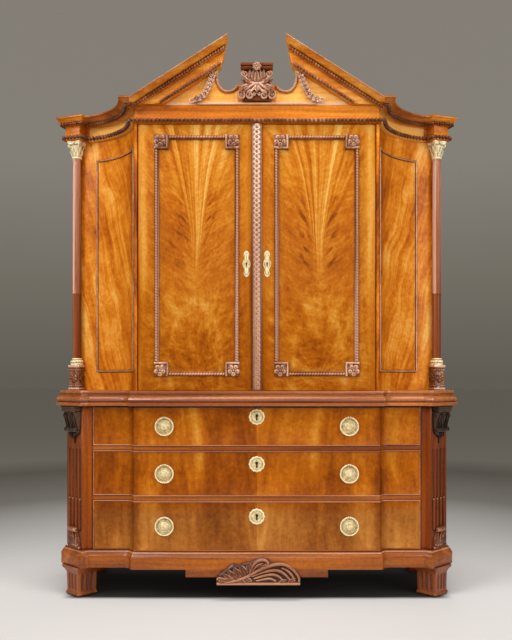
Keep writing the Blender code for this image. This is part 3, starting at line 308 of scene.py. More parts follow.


# Colours of the woods, of the gilding and of the painted shade in a keyhole

GOLDEN = (
    (0, 0.12, 0.023, 0.0012), (0.28, 0.255, 0.057, 0.0022), (0.5, 0.4, 0.106, 0.0036),
    (0.72, 0.525, 0.196, 0.015), (1, 0.64, 0.36, 0.086),
)
GLOWING = (
    (0, 0.17, 0.03, 0.0012), (0.28, 0.34, 0.074, 0.0024), (0.5, 0.52, 0.138, 0.005),
    (0.72, 0.68, 0.23, 0.016), (1, 0.78, 0.4, 0.085),
)
TAWNY = (
    (0, 0.115, 0.03, 0.0045), (0.3, 0.24, 0.074, 0.011),
    (0.6, 0.395, 0.152, 0.028), (1, 0.56, 0.29, 0.085),
)
RUSSET = (
    (0, 0.07, 0.014, 0.003), (0.4, 0.2, 0.043, 0.006),
    (0.7, 0.34, 0.088, 0.012), (1, 0.52, 0.17, 0.036),
)
DARK = (
    (0, 0.04, 0.009, 0.0035), (0.45, 0.115, 0.025, 0.007),
    (0.75, 0.21, 0.052, 0.014), (1, 0.38, 0.125, 0.045),
)
SHAFT = (
    (0, 0.035, 0.008, 0.003), (0.3, 0.125, 0.0225, 0.004), (0.55, 0.225, 0.052, 0.011),
    (0.78, 0.38, 0.135, 0.06), (1, 0.64, 0.37, 0.27),
)
AMBER = (
    (0, 0.05, 0.009, 0.0008), (0.4, 0.145, 0.024, 0.0008),
    (0.7, 0.25, 0.048, 0.0015), (1, 0.375, 0.09, 0.0045),
)
ROSY = ((0, 0.2, 0.07, 0.026), (0.5, 0.48, 0.205, 0.095), (1, 0.74, 0.45, 0.28))
# Brown running up to a pale pink that stands in for painted sheen
BROWN_TO_SHEEN = (
    (0, 0.16, 0.05, 0.02), (0.45, 0.42, 0.19, 0.1),
    (0.75, 0.64, 0.4, 0.28), (1, 0.84, 0.68, 0.56),
)
CARVED = (
    (0, 0.01, 0.004, 0.0025), (0.3, 0.062, 0.016, 0.006), (0.6, 0.185, 0.052, 0.017),
    (0.82, 0.38, 0.15, 0.065), (1, 0.66, 0.4, 0.26),
)
BROWN_CARVED = (
    (0, 0.03, 0.008, 0.003), (0.4, 0.12, 0.033, 0.011),
    (0.7, 0.25, 0.083, 0.031), (1, 0.46, 0.205, 0.11),
)
EBONY_AND_SHADE = ((0, 0.005, 0.0035, 0.0025), (0.5, 0.018, 0.0105, 0.007), (1, 0.12, 0.058, 0.033))
PLAIN_OAK = ((0, 0.17, 0.092, 0.04), (0.5, 0.3, 0.18, 0.085), (1, 0.43, 0.28, 0.15))
GILT = (
    (0, 0.045, 0.026, 0.007), (0.4, 0.31, 0.205, 0.065),
    (0.75, 0.69, 0.53, 0.23), (1, 0.92, 0.82, 0.54),
)
KEYHOLE_SHADE = ((0, 0.004, 0.003, 0.002), (1, 0.02, 0.015, 0.01))


# Figures of the woods: each gives a shade and the vessels of the grain at a point

COLUMN_BAND = 1.374
COLUMN_AT = 0.857
COLUMN_RADIUS = 0.0215
PLUME_AT = 0.27
PLUME_HALF = 0.185
CROWN_FOOT = HOOD_LOW + 0.067
CROWN_BODY = HOOD_LOW + 0.069


def straight(along, across, deep, broad=7, fine=46):
    """Straight grain: broad and fine streaks drawn out along one direction."""
    wander = cloud(along * 1.1, across * 3, deep * 3) * 0.05
    bands = cloud((across + wander) * broad, along * 0.7, deep * broad)
    lines = cloud((across + wander) * fine, along * 1.6, deep * fine, 3, 0.6)
    return swung(0.5, (bands, 1.1), (lines, 0.7))


def pores(along, across, deep):
    """Short dark vessels along the grain."""
    return cloud(across * 900, along * 26, deep * 900, 1).step(0.6, 0.74)


def grit(x, y, z):
    """Small mottles that any cut of this wood shows."""
    return swung(0, (cloud(x * 85, y * 85, z * 70, 2, 0.6), 0.34))


def upright(x, y, z):
    return straight(z, x, y) + grit(x, y, z), pores(z, x, y)


def side_figure(x, y, z):
    """Plain veneer of the sides: soft upright ribbons and a slow mottle."""
    ribbons = cloud(y * 26, z * 1.4, x * 5, 3, 0.6)
    mottle = cloud(y * 5, z * 3, x * 3, 3, 0.6)
    figure = straight(z, y, x, 5, 60) * 0.45 + swung(0.26, (ribbons, 0.4), (mottle, 0.5))
    return figure + grit(x, y, z), pores(z, y, x)


def level(x, y, z):
    return straight(x, z, y, 16, 70) + grit(x, y, z), pores(x, z, y)


def beading(x, y, z):
    """Carved beads: brown along the middle, nearly black round the scooped corners."""
    return straight(z, x, y) - x.size().step(0.53, 0.58) * 0.22, pores(z, x, y)


def strip(x, y, z):
    """The cover strip of the doors: paled at the top by painted sheen, browner towards its foot, with
    painted shadow down both edges.
    """
    # Painted shadow down both edges; the paling with height is painted sheen
    edge_shadow = x.size().step(0.0155, 0.018) * 0.55
    return straight(z, x, y) * 0.5 + (z - 1) * 0.5 + 0.15 - edge_shadow, pores(z, x, y)


def shaft(x, y, z):
    """Columns: paler and reddish above the band, growing paler upwards, darker below it, with a painted
    highlight down the left and painted shade down the right.
    """
    across = (x - x.sign() * COLUMN_AT) / COLUMN_RADIUS
    above = z.step(COLUMN_BAND - 0.002, COLUMN_BAND + 0.002)
    # Painted highlight down the left of each shaft, painted shade down its right
    lit = (across + 0.62).bell(0.24) * (above * 0.3 + 0.18) - across.step(-0.4, 0.5) * 0.14
    tone_shift = above * ((z - 1.1) * 0.4 + 0.03)
    return straight(z, x, y, 30, 160) * 0.6 + tone_shift + lit + 0.23, pores(z, x, y)


def scooped(x, y, z):
    """Broad streaks that slant up and outwards across the coves, redder beside the doors."""
    sway = cloud(x * 2.6, z * 2, y * 2) - 0.5
    across = x.size() - z * 0.24 + sway * 0.16
    bands = cloud(across * 12, z * 0.9, 2)
    lines = cloud(across * 55, z * 1.8, 4, 3, 0.6)
    mottle = cloud(x * 9, z * 8, y * 9, 3, 0.6)
    ripple = cloud(x * 40, z * 55, y * 40, 2, 0.6)
    figure = swung(0.7, (bands, 1.55), (lines, 0.9), (mottle, 0.8), (ripple, 0.35))
    figure = figure - x.size().step(0.6, 0.552) * 0.26 - z.step(1.2, 0.98) * 0.1
    return figure + grit(x, y, z), pores(z, x, y)


def flame(x, y, z):
    """Crotch figure on the doors: a pale plume opening upwards from a barbed stem, over an arch of rays."""
    side = x.sign()
    sway = cloud(x * 2.2, z * 1.6, y) - 0.5
    rough = (cloud(x * 14, z * 6, y + 2) - 0.5) * 0.8
    # Places across a door's panel: u runs from -1 to 1, and fan widens upwards with the plume
    u = (x.size() - PLUME_AT) / PLUME_HALF + sway * 0.2
    away = u.size()
    fan = u / ((z - 1.49).least(0) ** 1.7 * 1.75 + 0.115)
    # The plume, the paler veneer round its head and the dark barbs of its stem
    plume = (fan + rough * 0.7).size().step(1.3, 0.7) * z.step(1.36, 1.6)
    halo = fan.bell(2.6) * z.step(1.6, 1.9)
    streaks = cloud(fan * 4.6 + side * 3 + rough * 0.3, z * 0.6, y)
    hair = cloud(fan * 7 + rough * 0.8, z * 1.2, side * 5, 3, 0.6)
    spots = cloud(away * 4 + side * 7, z * 32 - away * 6, 1, 1).step(0.48, 0.62)
    near = (away - 0.3).bell(0.11) + (away - 0.46).bell(0.22) * 0.4
    barbs = spots * near * z.step(1.42, 1.5) * z.step(1.9, 1.7)
    # The wild veneer round it, with an arch of rays and curls below
    bands = cloud(x * 5, z * 2.2, y + 4, 3, 0.6)
    mottle = cloud(u * 3.2 + sway * 3, z * 17 - away * 1.6, y + 7, 3, 0.6)
    curl = cloud(x * 22 + sway * 12, z * 16 - sway * 8, 3, 3, 0.65)
    turn = (u * PLUME_HALF).combined("ARCTAN2", z - 0.98)
    rays = cloud(turn * 7 + rough * 0.5, z * 2.6, side * 2, 3, 0.6)
    arch = ((u / 0.6) ** 2 + ((z - 1.02) / 0.29) ** 2) ** 0.5 + rough * 0.2
    oval = ((u / 0.42) ** 2 + ((z - 1.1) / 0.11) ** 2) ** 0.5 + rough * 0.3
    vault = (arch - 1).bell(0.09) * 0.1 - oval.step(1.1, 0.6) * 0.1 + swung(0, (rays, 0.45), (curl, 0.55))
    lean = z.step(1.1, 1.55) * away * 8 - rough * 3
    ripple = cloud(x * 27 + sway * 16, z * 70 - lean, y + 9, 2, 0.6)
    wild = swung(0.565, (bands, 0.5), (mottle, 0.42), (ripple, 0.37))
    wild = wild + halo * swung(0.1, (streaks, 0.7)) - barbs * 0.24 + vault * z.step(1.46, 1.3)
    middle = swung(0.68, (streaks, 1.2), (hair, 0.85), (ripple, 0.3))
    figure = wild + (middle - wild) * plume
    # Plain straight grain on the stiles and on the inner face
    plain = straight(z, x, y, 10, 44) + (x.size() - 0.492).bell(0.02) * z.step(1.25, 1.45) * 0.3
    plain = plain + 0.1 - x.size().step(0.085, 0.03) * 0.2
    inside = y.step(DOOR_FACE + 0.012, DOOR_FACE + 0.016)
    figure = figure + (plain - figure) * (away.step(1.06, 1.34) * 0.8).least(inside)
    # The top of each door is paler: painted light where the hood shades it
    return (figure - 0.6) * 1.16 + 0.575 + z.step(2, 2.12) * 0.1 + grit(x, y, z), pores(z, x, y)


def drawer_figure(x, y, z):
    """Upright figure through the three drawers: dark left of the middle seam, golden right of it."""
    mirrored = x.size()
    sway = cloud(mirrored * 2.4, z * 2, 7) - 0.5
    across = mirrored + sway * 0.14 - (z - 0.5) * 0.1
    bands = cloud(across * 8, z * 0.9, 3.4)
    lines = cloud(across * 40, z * 1.8, 1, 3, 0.6)
    swirl = cloud(x * 9 + sway * 5, z * 7, 9, 3, 0.65)
    ripple = cloud(x * 34, z * 42, 5, 2, 0.6)
    strokes = cloud(across * 9 + (z - 0.5) * 1.2, z * 1.6, 6, 3, 0.5).step(0.4, 0.62)
    figure = swung(0.42, (bands, 0.5), (lines, 0.42), (swirl, 0.45), (ripple, 0.28), (strokes, 0.18))
    figure = figure - (z - 0.51).bell(0.08) * 0.05 + z.step(0.42, 0.36) * 0.05
    feather = (across - 0.235).bell(0.026) * z.step(0.3, 0.7) * 0.26
    right = x.step(-0.001, 0.001)
    seam = mirrored.step(0.26, 0.2) * (right * 0.2 - 0.13)
    beyond = (mirrored - 0.32).bell(0.06) * (right * -0.12 + 0.02)
    break_shade = (mirrored - 0.545).bell(0.022) * -0.22
    wings = mirrored.step(0.565, 0.6) * (right * 0.16 - 0.06) - (mirrored - 0.7).bell(0.03) * 0.1
    return figure + feather + seam + beyond + break_shade + wings + grit(x, y, z), pores(z, x, y)


def hooded(x, y, z):
    """The hood: orange over doors and columns; painted light pales the scoops, more towards the doors, and
    painted shadow darkens them under their crown.
    """
    shade, vessel = level(x, y, z)
    scoop = scoop_of_hood(x, y) * z.step(HOOD_HIGH - 0.001, HOOD_HIGH - 0.003)
    # Painted light in the scoops, stronger towards the doors, less painted shadow under the crown
    inner = x.size().step(0.68, 0.56) * 0.2 + 0.57
    shadow = z.step(HOOD_LOW + 0.066, CROWN_BODY) * 0.36
    return shade + scoop * (inner - shadow), vessel


def gable(x, y, z):
    """The pediment's boards, redder behind the bracket."""
    shade, vessel = level(x, y, z)
    board = y.step(DOOR_FACE - 0.008, DOOR_FACE - 0.004)
    return shade + board * 0.26 - x.size().step(0.088, 0.08) * board * 0.4, vessel


# Places of a second colour: 1 where it shows


def scoop_of_hood(x, y):
    """The scooped corners of the hood, between the doors and the blocks over the columns."""
    return x.size().step(0.546, 0.552) * x.size().step(0.8, 0.792) * y.step(0.14, 0.08)


def crown(x, y, z):
    """The roof, in russet, and the crown moulding in the scoops, where the russet is painted shade."""
    roof = z.step(HOOD_HIGH - 0.003, HOOD_HIGH - 0.001)
    return z.step(CROWN_FOOT, CROWN_BODY) * scoop_of_hood(x, y).least(roof)


def reflected_haze(x, y, z):
    """The lowest drawer, in a duller, greyer brown: a painted reflection."""
    return z.step(0.42, 0.36) * 0.85


def stile(x, y, z):
    """The flat stile between the drawers and the canted face of the post."""
    return x.size().step(0.7698, 0.7688)


def fillet(x, y, z):
    """The fillet under the tympanum, pale rosy as a painted highlight."""
    return z.step(FRIEZE_HIGH + 0.0146, FRIEZE_HIGH + 0.0134) * x.size().step(0.4, 0.38)


def ornament(x, y, z):
    """The carved mound of the apron."""
    return y.step(PLINTH_FACE - 0.0005, PLINTH_FACE - 0.0015) * x.size().step(0.205, 0.195)


# Finishes

PORE_SHADE = 0.14
CREVICE_SHADE = 0.9
HOLLOW_SHADE = 1.35
EDGE_HIGHLIGHT = 0.55
SUNK_SHADE = 0.4
COAT_ROUGHNESS = 0.14


def wood(name, figure, palette, shine, brighter=0, rough=0.34, carved=0, shaded=0, second=None):
    """A polished wood; painted shade darkens its hollows, and carved wood also has painted highlights on its
    edges.
    """
    material, tree, shader, (x, y, z) = surface(name)
    shade, vessel = figure(x, y, z)
    shade = shade + brighter - vessel * PORE_SHADE
    # Painted shade in crevices
    if shaded:
        shade = shade + (openness(tree, shaded) - 1) * CREVICE_SHADE
    if carved:
        # Carving: painted shade in its hollows, painted highlights on its edges
        tone_shift = edges(tree)
        shade = shade + (openness(tree, carved) - 1) * HOLLOW_SHADE
        shade = shade + tone_shift.step(0.505, 0.59) * EDGE_HIGHLIGHT - tone_shift.step(0.495, 0.43) * SUNK_SHADE
    colour = colour_ramp(tree, shade, palette)
    if second:
        other, where = second
        colour = mixed(tree, where(x, y, z), colour, colour_ramp(tree, shade, other))
    haze = cloud(x * 5, y * 5, z * 5, 3)
    fill(tree, shader, {
        "Base Color": colour,
        "Roughness": swung(rough, (haze, 0.16)) + vessel * 0.1,
        "Specular IOR Level": shine,
        "Coat Weight": shine * 0.5,
        "Coat Roughness": COAT_ROUGHNESS,
    })
    relief(tree, shader, vessel * -0.6 + haze * 0.4, 0.0004)
    return material


def brass(name, lift=0):
    """Pale gilt brass, darker in its hollows with patina and painted shade, and paler on its edges, partly
    rubbed and partly a painted highlight.
    """
    material, tree, shader, (x, y, z) = surface(name)
    # Edges paled by wear and painted highlight; hollows darkened by patina and painted shade
    tone_shift = edges(tree).step(0.49, 0.56)
    hollow = openness(tree, 0.009) ** 1.8
    patches = cloud(x * 95, y * 95, z * 95, 3, 0.6)
    tone = hollow * 0.8 + tone_shift * 0.26 + swung(lift - 0.04, (patches, 0.95))
    fill(tree, shader, {
        "Base Color": colour_ramp(tree, tone, GILT),
        "Roughness": swung(0.38, (patches, 0.3)),
        "Metallic": 0.18,
    })
    relief(tree, shader, cloud(x * 420, y * 420, z * 420), 0.0003)
    return material


def keyhole_shade():
    # A near-black sheet: painted shade for a keyhole
    material, tree, shader, (x, y, z) = surface("keyhole_dark")
    speckle = cloud(x * 200, y * 200, z * 200)
    fill(tree, shader, {"Base Color": colour_ramp(tree, speckle, KEYHOLE_SHADE), "Roughness": 0.9})
    return material


LOOKS = {
    "side": wood("veneer_side", side_figure, GOLDEN, 0.08),
    "scooped": wood("veneer_scooped", scooped, GLOWING, 0.08),
    "hood": wood("hood_wood", hooded, GLOWING, 0.15, second=(RUSSET, crown)),
    "plinth": wood("plinth_wood", level, GOLDEN, 0.35, -0.22, shaded=0.012, second=(BROWN_CARVED, ornament)),
    "pediment": wood("pediment_wood", gable, GLOWING, 0.2, 0.2, shaded=0.01, second=(ROSY, fillet)),
    "flame": wood("veneer_flame", flame, GOLDEN, 0.07),
    "drawer": wood("veneer_drawer", drawer_figure, GOLDEN, 0.07, second=(TAWNY, reflected_haze)),
    "moulding": wood("moulding_wood", level, RUSSET, 0.75, 0.2, 0.3, shaded=0.014),
    "rail": wood("rail_wood", level, RUSSET, 0.2, 0.06),
    # Beads in pale rosy wood: their paleness is a painted highlight
    "bead": wood("bead_wood", level, ROSY, 0.7, -0.12, 0.26),
    "cock": wood("cock_bead_wood", level, ROSY, 0.5, -0.28, 0.3),
    "lip": wood("lip_wood", upright, ROSY, 0.6, -0.18, 0.28),
    "foot": wood("foot_wood", upright, RUSSET, 0.35, -0.05, shaded=0.016),
    "post": wood("post_wood", upright, DARK, 0.14, 0.12, shaded=0.01, second=(AMBER, stile)),
    "column": wood("column_wood", shaft, SHAFT, 0.22),
    "frame": wood("door_frame_wood", upright, RUSSET, 0.35, -0.16, 0.3, shaded=0.006),
    "rope": wood("rope_wood", upright, ROSY, 0.35, -0.34, 0.3, carved=0.006),
    "core": wood("bracket_core_wood", level, RUSSET, 0.3, -0.08, shaded=0.016),
    "flower": wood("corner_flower_wood", upright, CARVED, 0.5, 0, 0.3, carved=0.006),
    "spray": wood("apron_spray_wood", level, BROWN_CARVED, 0.4, -0.02, 0.32, carved=0.006),
    "crest": wood("crest_wood", upright, BROWN_TO_SHEEN, 0.4, -0.46, 0.3, carved=0.01),
    "husk": wood("husk_wood", upright, CARVED, 0.7, 0.22, 0.28, carved=0.006),
    "strip": wood("astragal_wood", strip, BROWN_TO_SHEEN, 0.4, 0, 0.32, shaded=0.006),
    "carved": wood("carved_wood", upright, CARVED, 0.9, 0.14, 0.28, carved=0.006),
    "block": wood("carved_block_wood", upright, CARVED, 0.5, -0.18, 0.3, carved=0.008),
    "beads": wood("carved_beads", beading, CARVED, 0.4, 0.18, 0.32, shaded=0.006),
    "ebony_and_shade": wood("carved_dark_wood", upright, EBONY_AND_SHADE, 0.24, -0.3, carved=0.012),
    "oak": wood("oak_boards", level, PLAIN_OAK, 0.1, 0, 0.58),
    "oak_back": wood("oak_upright_boards", upright, PLAIN_OAK, 0.1, 0, 0.62),
    "brass": brass("gilt_brass_wear_and_sheen"),
    "gilt": brass("gilt_brass_bright", 0.52),
    "dark": keyhole_shade(),
}


# Pieces made from the frame's own shapes

ARRIS = radians(38)
FLATNESS = radians(0.6)
WELD = 0.00002
SAME_LEVEL = 0.0002
FLANK = 0.06
# Solids shown with eased arrises: node, look and width of the easing; braces stand for left and right
EASED = (
    ("waist_board", "moulding", 0.0015), ("plinth", "plinth", 0.0015), ("entablature", "hood", 0.001),
    ("pediment", "pediment", 0.001), ("drawer_divider_lower", "rail", 0.001),
    ("drawer_divider_upper", "rail", 0.001), ("chest_side_{}", "side", 0.0015),
    ("corner_post_{}", "post", 0.0012), ("foot_back_{}", "foot", 0.002), ("upper_side_{}", "side", 0.0015),
    ("pedestal_{}", "carved", 0.0008), ("door_{}", "flame", 0.0012), ("door_frame_{}", "frame", 0.0008),
)
DRAWER_EASING = 0.0009
ASTRAGAL_EASING = 0.0008
# Solids shown as they are, by look
KEPT = {"oak_back": ("chest_back", "upper_back"), "oak": ("chest_bottom", "shelf_lower", "shelf_upper")}


def body_of(node):
    return NODES[node]["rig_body"]


def finished(piece, body, replaces=None):
    """Puts a piece on its body, in place of a node where one is named."""
    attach(piece, body)
    if replaces:
        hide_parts(replaces)


def coat(mesh, look):
    mesh.materials.clear()
    mesh.materials.append(LOOKS[look])
    return mesh


def softened(node, look, width):
    """A copy of a node's shape with its arrises eased, shown in the node's place."""
    mesh = NODES[node].data.copy()
    shape = bmesh.new()
    shape.from_mesh(mesh)
    bmesh.ops.remove_doubles(shape, verts=shape.verts, dist=WELD)
    bmesh.ops.dissolve_limit(shape, angle_limit=FLATNESS, verts=shape.verts, edges=shape.edges)
    shape.to_mesh(mesh)
    shape.free()
    piece = placed(node + "_dressed", coat(mesh, look))
    ease = piece.modifiers.new("ease", "BEVEL")
    ease.limit_method = "ANGLE"
    ease.angle_limit = ARRIS
    ease.width = width
    ease.segments = 2
    graph = bpy.context.evaluated_depsgraph_get()
    piece.data = bpy.data.meshes.new_from_object(piece.evaluated_get(graph))
    piece.modifiers.clear()
    piece.data.shade_smooth()
    piece.data.set_sharp_from_angle(angle=ARRIS)
    finished(piece, body_of(node), node)


def dress_frame():
    for name, look, width in EASED:
        for node in sorted({name.format(side) for side, _ in SIDES}):
            softened(node, look, width)
    for drawer in DRAWERS:
        softened("drawer_front_" + drawer, "drawer", DRAWER_EASING)
        coat(NODES["drawer_box_" + drawer].data, "oak")
    for look, nodes in KEPT.items():
        for node in nodes:
            coat(NODES[node].data, look)


# Carving


class Carving:
    """Carved forms gathered into one mesh, at an origin and turned about the upright."""

    def __init__(self, origin=(0, 0, 0), turn=0):
        self.vertices = []
        self.faces = []
        self.place = Matrix.Translation(origin) @ Matrix.Rotation(turn, 4, "Z")

    def skin(self, rings, closed=False):
        """A skin through rings of equally many points, capped unless it closes on itself."""
        start = len(self.vertices)
        count = len(rings[0])
        for ring in rings:
            self.vertices.extend(Vector(p) for p in ring)
        for k in range(len(rings) - (0 if closed else 1)):
            a = start + k * count
            b = start + (k + 1) % len(rings) * count
            for i in range(count):
                j = (i + 1) % count
                self.faces.append((a + i, a + j, b + j, b + i))
        if not closed:
            last = start + (len(rings) - 1) * count
            self.faces.append(tuple(start + i for i in reversed(range(count))))
            self.faces.append(tuple(last + i for i in range(count)))

    def rod(self, path, radius, sides, closed=False, up=-Y):
        """A rod along a path; its radius may be a function of the share of the way along."""
        rings = []
        count = len(path)
        for i, here in enumerate(path):
            before = path[i - 1] if closed or i else here
            after = path[(i + 1) % count] if closed or i < count - 1 else here
            ahead = (Vector(after) - Vector(before)).normalized()
            side = ahead.cross(up).normalized()
            lift = side.cross(ahead)
            r = radius(i / (count - 1)) if callable(radius) else radius
            turns = [tau * (k + 0.5) / sides for k in range(sides)]
            rings.append([Vector(here) + side * (r * cos(a)) + lift * (r * sin(a)) for a in turns])
        self.skin(rings, closed)

    def ball(self, at, right, up, out, facets=8, layers=4):
        """An egg with the given half axes."""
        rings = []
        for k in range(layers + 1):
            b = pi * (k + 0.12) / (layers + 0.24) - pi / 2
            rings.append([Vector(at) + cos(b) * spoke(a, right, up) + sin(b) * out for a in circle(facets)])
        self.skin(rings)

    def egg(self, at, wide, tall, deep, facets=8, layers=4):
        """An egg that faces the front."""
        self.ball(at, X * wide, Z * tall, -Y * deep, facets, layers)

    def leaf(self, base, ahead, out, length, width, curl, lobes, thick=0.16, steps=9):
        """A ribbed leaf that grows ahead from its base, swells outwards and curls at its tip."""
        ahead = Vector(ahead).normalized()
        out = Vector(out).normalized()
        side = ahead.cross(out)
        rings = []
        for k in range(steps + 1):
            t = k / steps
            spread = sin(pi * min(1, 0.1 + 0.9 * t) ** 0.75) ** 0.8 if k < steps else 0.05
            spread *= 1 - 0.22 * abs(sin(lobes * pi * t))
            middle = Vector(base) + ahead * (length * (t - 0.35 * curl * t**4))
            middle += out * (length * curl * (0.45 * sin(pi * t * 0.8) + t**3))
            half = max(spread, 0.06) * width / 2
            body = thick * width * (0.5 + 0.5 * sin(pi * min(1, t + 0.12)))
            ring = []
            for s in (-1, -0.62, -0.3, -0.12, 0, 0.12, 0.3, 0.62, 1):
                rib = 0.55 if s == 0 else 1
                ring.append(middle + side * (half * s) + out * (body * (1 - 0.8 * s * s) * rib))
            for s in (0.7, 0, -0.7):
                ring.append(middle + side * (half * s) - out * (body * 0.6))
            rings.append(ring)
        self.skin(rings)

    def scroll(self, at, right, up, out, radius, turns, wire, rise, hand=1, start=0):
        """A volute: a rod that winds in to a button at its eye."""
        steps = int(turns * 16)
        path = []
        for k in range(steps + 1):
            t = k / steps
            a = start + hand * tau * turns * t
            r = radius * (1 - 0.8 * t)
            path.append(Vector(at) + right * (r * cos(a)) + up * (r * sin(a)) + out * (rise * t))
        self.rod(path, lambda t: radius * wire * (1 - 0.5 * t), 7, up=out)
        eye = radius * 0.24
        self.ball(Vector(at) + out * rise, right * eye, up * eye, out * (eye + radius * wire * 0.4))

    def rosette(self, at, right, up, out, radius, petals, height, turn=0, boss=0.26):
        """A flower of petals round a button."""
        width = radius * 2.3 * sin(pi / petals)
        for a in circle(petals):
            ahead = spoke(turn + a, right, up)
            start = Vector(at) + ahead * (radius * boss * 0.6)
            self.leaf(start, ahead, out, radius * (1 - boss * 0.6), width, 0.12, 1, height * 0.6, 6)
        size = radius * boss
        self.ball(Vector(at) + out * (radius * height * 0.35), right * size, up * size, out * size * 0.8)

    def beads(self, path, pitch, size, slant, up=Z):
        """Carved beads set along a path, leaning by the slant."""
        for here, ahead in spaced(path, pitch):
            normal = ahead.cross(up).normalized()
            if normal.dot(-Y) < 0:
                normal = -normal
            lift = normal.cross(ahead).normalized()
            along = (ahead * cos(slant) + lift * sin(slant)) * size[0]
            tall = (lift * cos(slant) - ahead * sin(slant)) * size[1]
            self.ball(here, along, tall, normal * size[2])

    def flatten_back(self, depth):
        """Cuts the carving off flat where it stands against the wall behind it."""
        for vertex in self.vertices:
            vertex.y = min(vertex.y, depth)

    def piece(self, name, look, slot, body="case", replaces=None, crease=50):
        mesh = bpy.data.meshes.new(name)
        mesh.from_pydata([self.place @ v for v in self.vertices], [], self.faces)
        shape = bmesh.new()
        shape.from_mesh(mesh)
        bmesh.ops.recalc_face_normals(shape, faces=shape.faces)
        shape.to_mesh(mesh)
        shape.free()
        mesh.shade_smooth()
        mesh.set_sharp_from_angle(angle=radians(crease))
        finished(placed(name, coat(mesh, look)), body, replaces)

    def stand_for(self, node, look, crease=50):
        """The carving as a piece in a node's place, on its body and with its finish."""
        self.piece(node + "_dressed", look, SLOTS[node], body_of(node), node, crease)


def circle(count):
    return [tau * k / count for k in range(count)]


def spoke(a, right=X, up=Y):
    return right * cos(a) + up * sin(a)


def leaning(lean, side=1):
    """A direction in the front plane, leaning from upright."""
    return X * (side * sin(lean)) + Z * cos(lean)


def box_ring(wide, deep, z, back=0):
    return [(wide, back, z), (wide, -deep, z), (-wide, -deep, z), (-wide, back, z)]


def flipped(points):
    """The points of the left half, from those of the right."""
    return [Vector((-p.x, p.y, p.z)) for p in points]


def spaced(path, pitch):
    """Even steps along a path: each place with the direction there."""
    points = [Vector(p) for p in path]
    lengths = [(b - a).length for a, b in zip(points, points[1:])]
    total = sum(lengths)
    count = max(1, round(total / pitch))
    result = []
    for k in range(count):
        left = total * (k + 0.5) / count
        for a, b, length in zip(points, points[1:], lengths):
            if left <= length:
                result.append((a.lerp(b, left / length), (b - a).normalized()))
                break
            left -= length
    return result


def ring_at(node, z):
    """The right half of a node's outline at a level, from the middle of the front round to the back."""
    found = {}
    for vertex in NODES[node].data.vertices:
        if abs(vertex.co.z - z) < SAME_LEVEL and vertex.co.x >= 0:
            found[round(vertex.co.x, 4), round(vertex.co.y, 4)] = vertex.co.copy()
    points = sorted(found.values(), key=lambda p: p.x)
    outer = points[-1]
    flank = [p for p in points if p.x > outer.x - FLANK and p.y > outer.y + 0.001]
    front = [p for p in points if p not in flank]
    return front + sorted(flank, key=lambda p: p.y)


# Scooped panels

COVE_START = Vector((0.541, 0))
COVE_END = Vector((0.812, 0.282))
COVE_SAG = 0.06
COVE_CHORD = COVE_END - COVE_START
COVE_RADIUS = (COVE_CHORD.length_squared / 4 + COVE_SAG**2) / (2 * COVE_SAG)
COVE_LEAN = Vector((COVE_CHORD.y, -COVE_CHORD.x)).normalized()
COVE_CENTRE = (COVE_START + COVE_END) / 2 + COVE_LEAN * (COVE_RADIUS - COVE_SAG)
COVE_WALL = 0.018
COVE_BEHIND_DOOR = 0.027
COVE_BEAD_RADIUS = 0.0042
COVE_BEAD_PROUD = 0.0022
QUIRK_RADIUS = 0.0012
QUIRK_SPREAD = 0.0052
# The bead's frame: insets from the scoop's two edges, and from the waist and the hood
BEAD_INSETS = (0.0305, 0.0565)
BEAD_FOOT = 0.0875
BEAD_HEAD = 0.0925


def cove_angle(spot):
    return atan2(spot.y - COVE_CENTRE.y, spot.x - COVE_CENTRE.x)


def cove_arc(sign, radius, start, end, z, steps=36):
    """Points along the scoop from one angle to another, at a level."""
    points = []
    for k in range(steps + 1):
        a = start + (end - start) * k / steps
        x = COVE_CENTRE.x + radius * cos(a)
        points.append(Vector((sign * x, DOOR_FACE + COVE_CENTRE.y + radius * sin(a), z)))
    return points


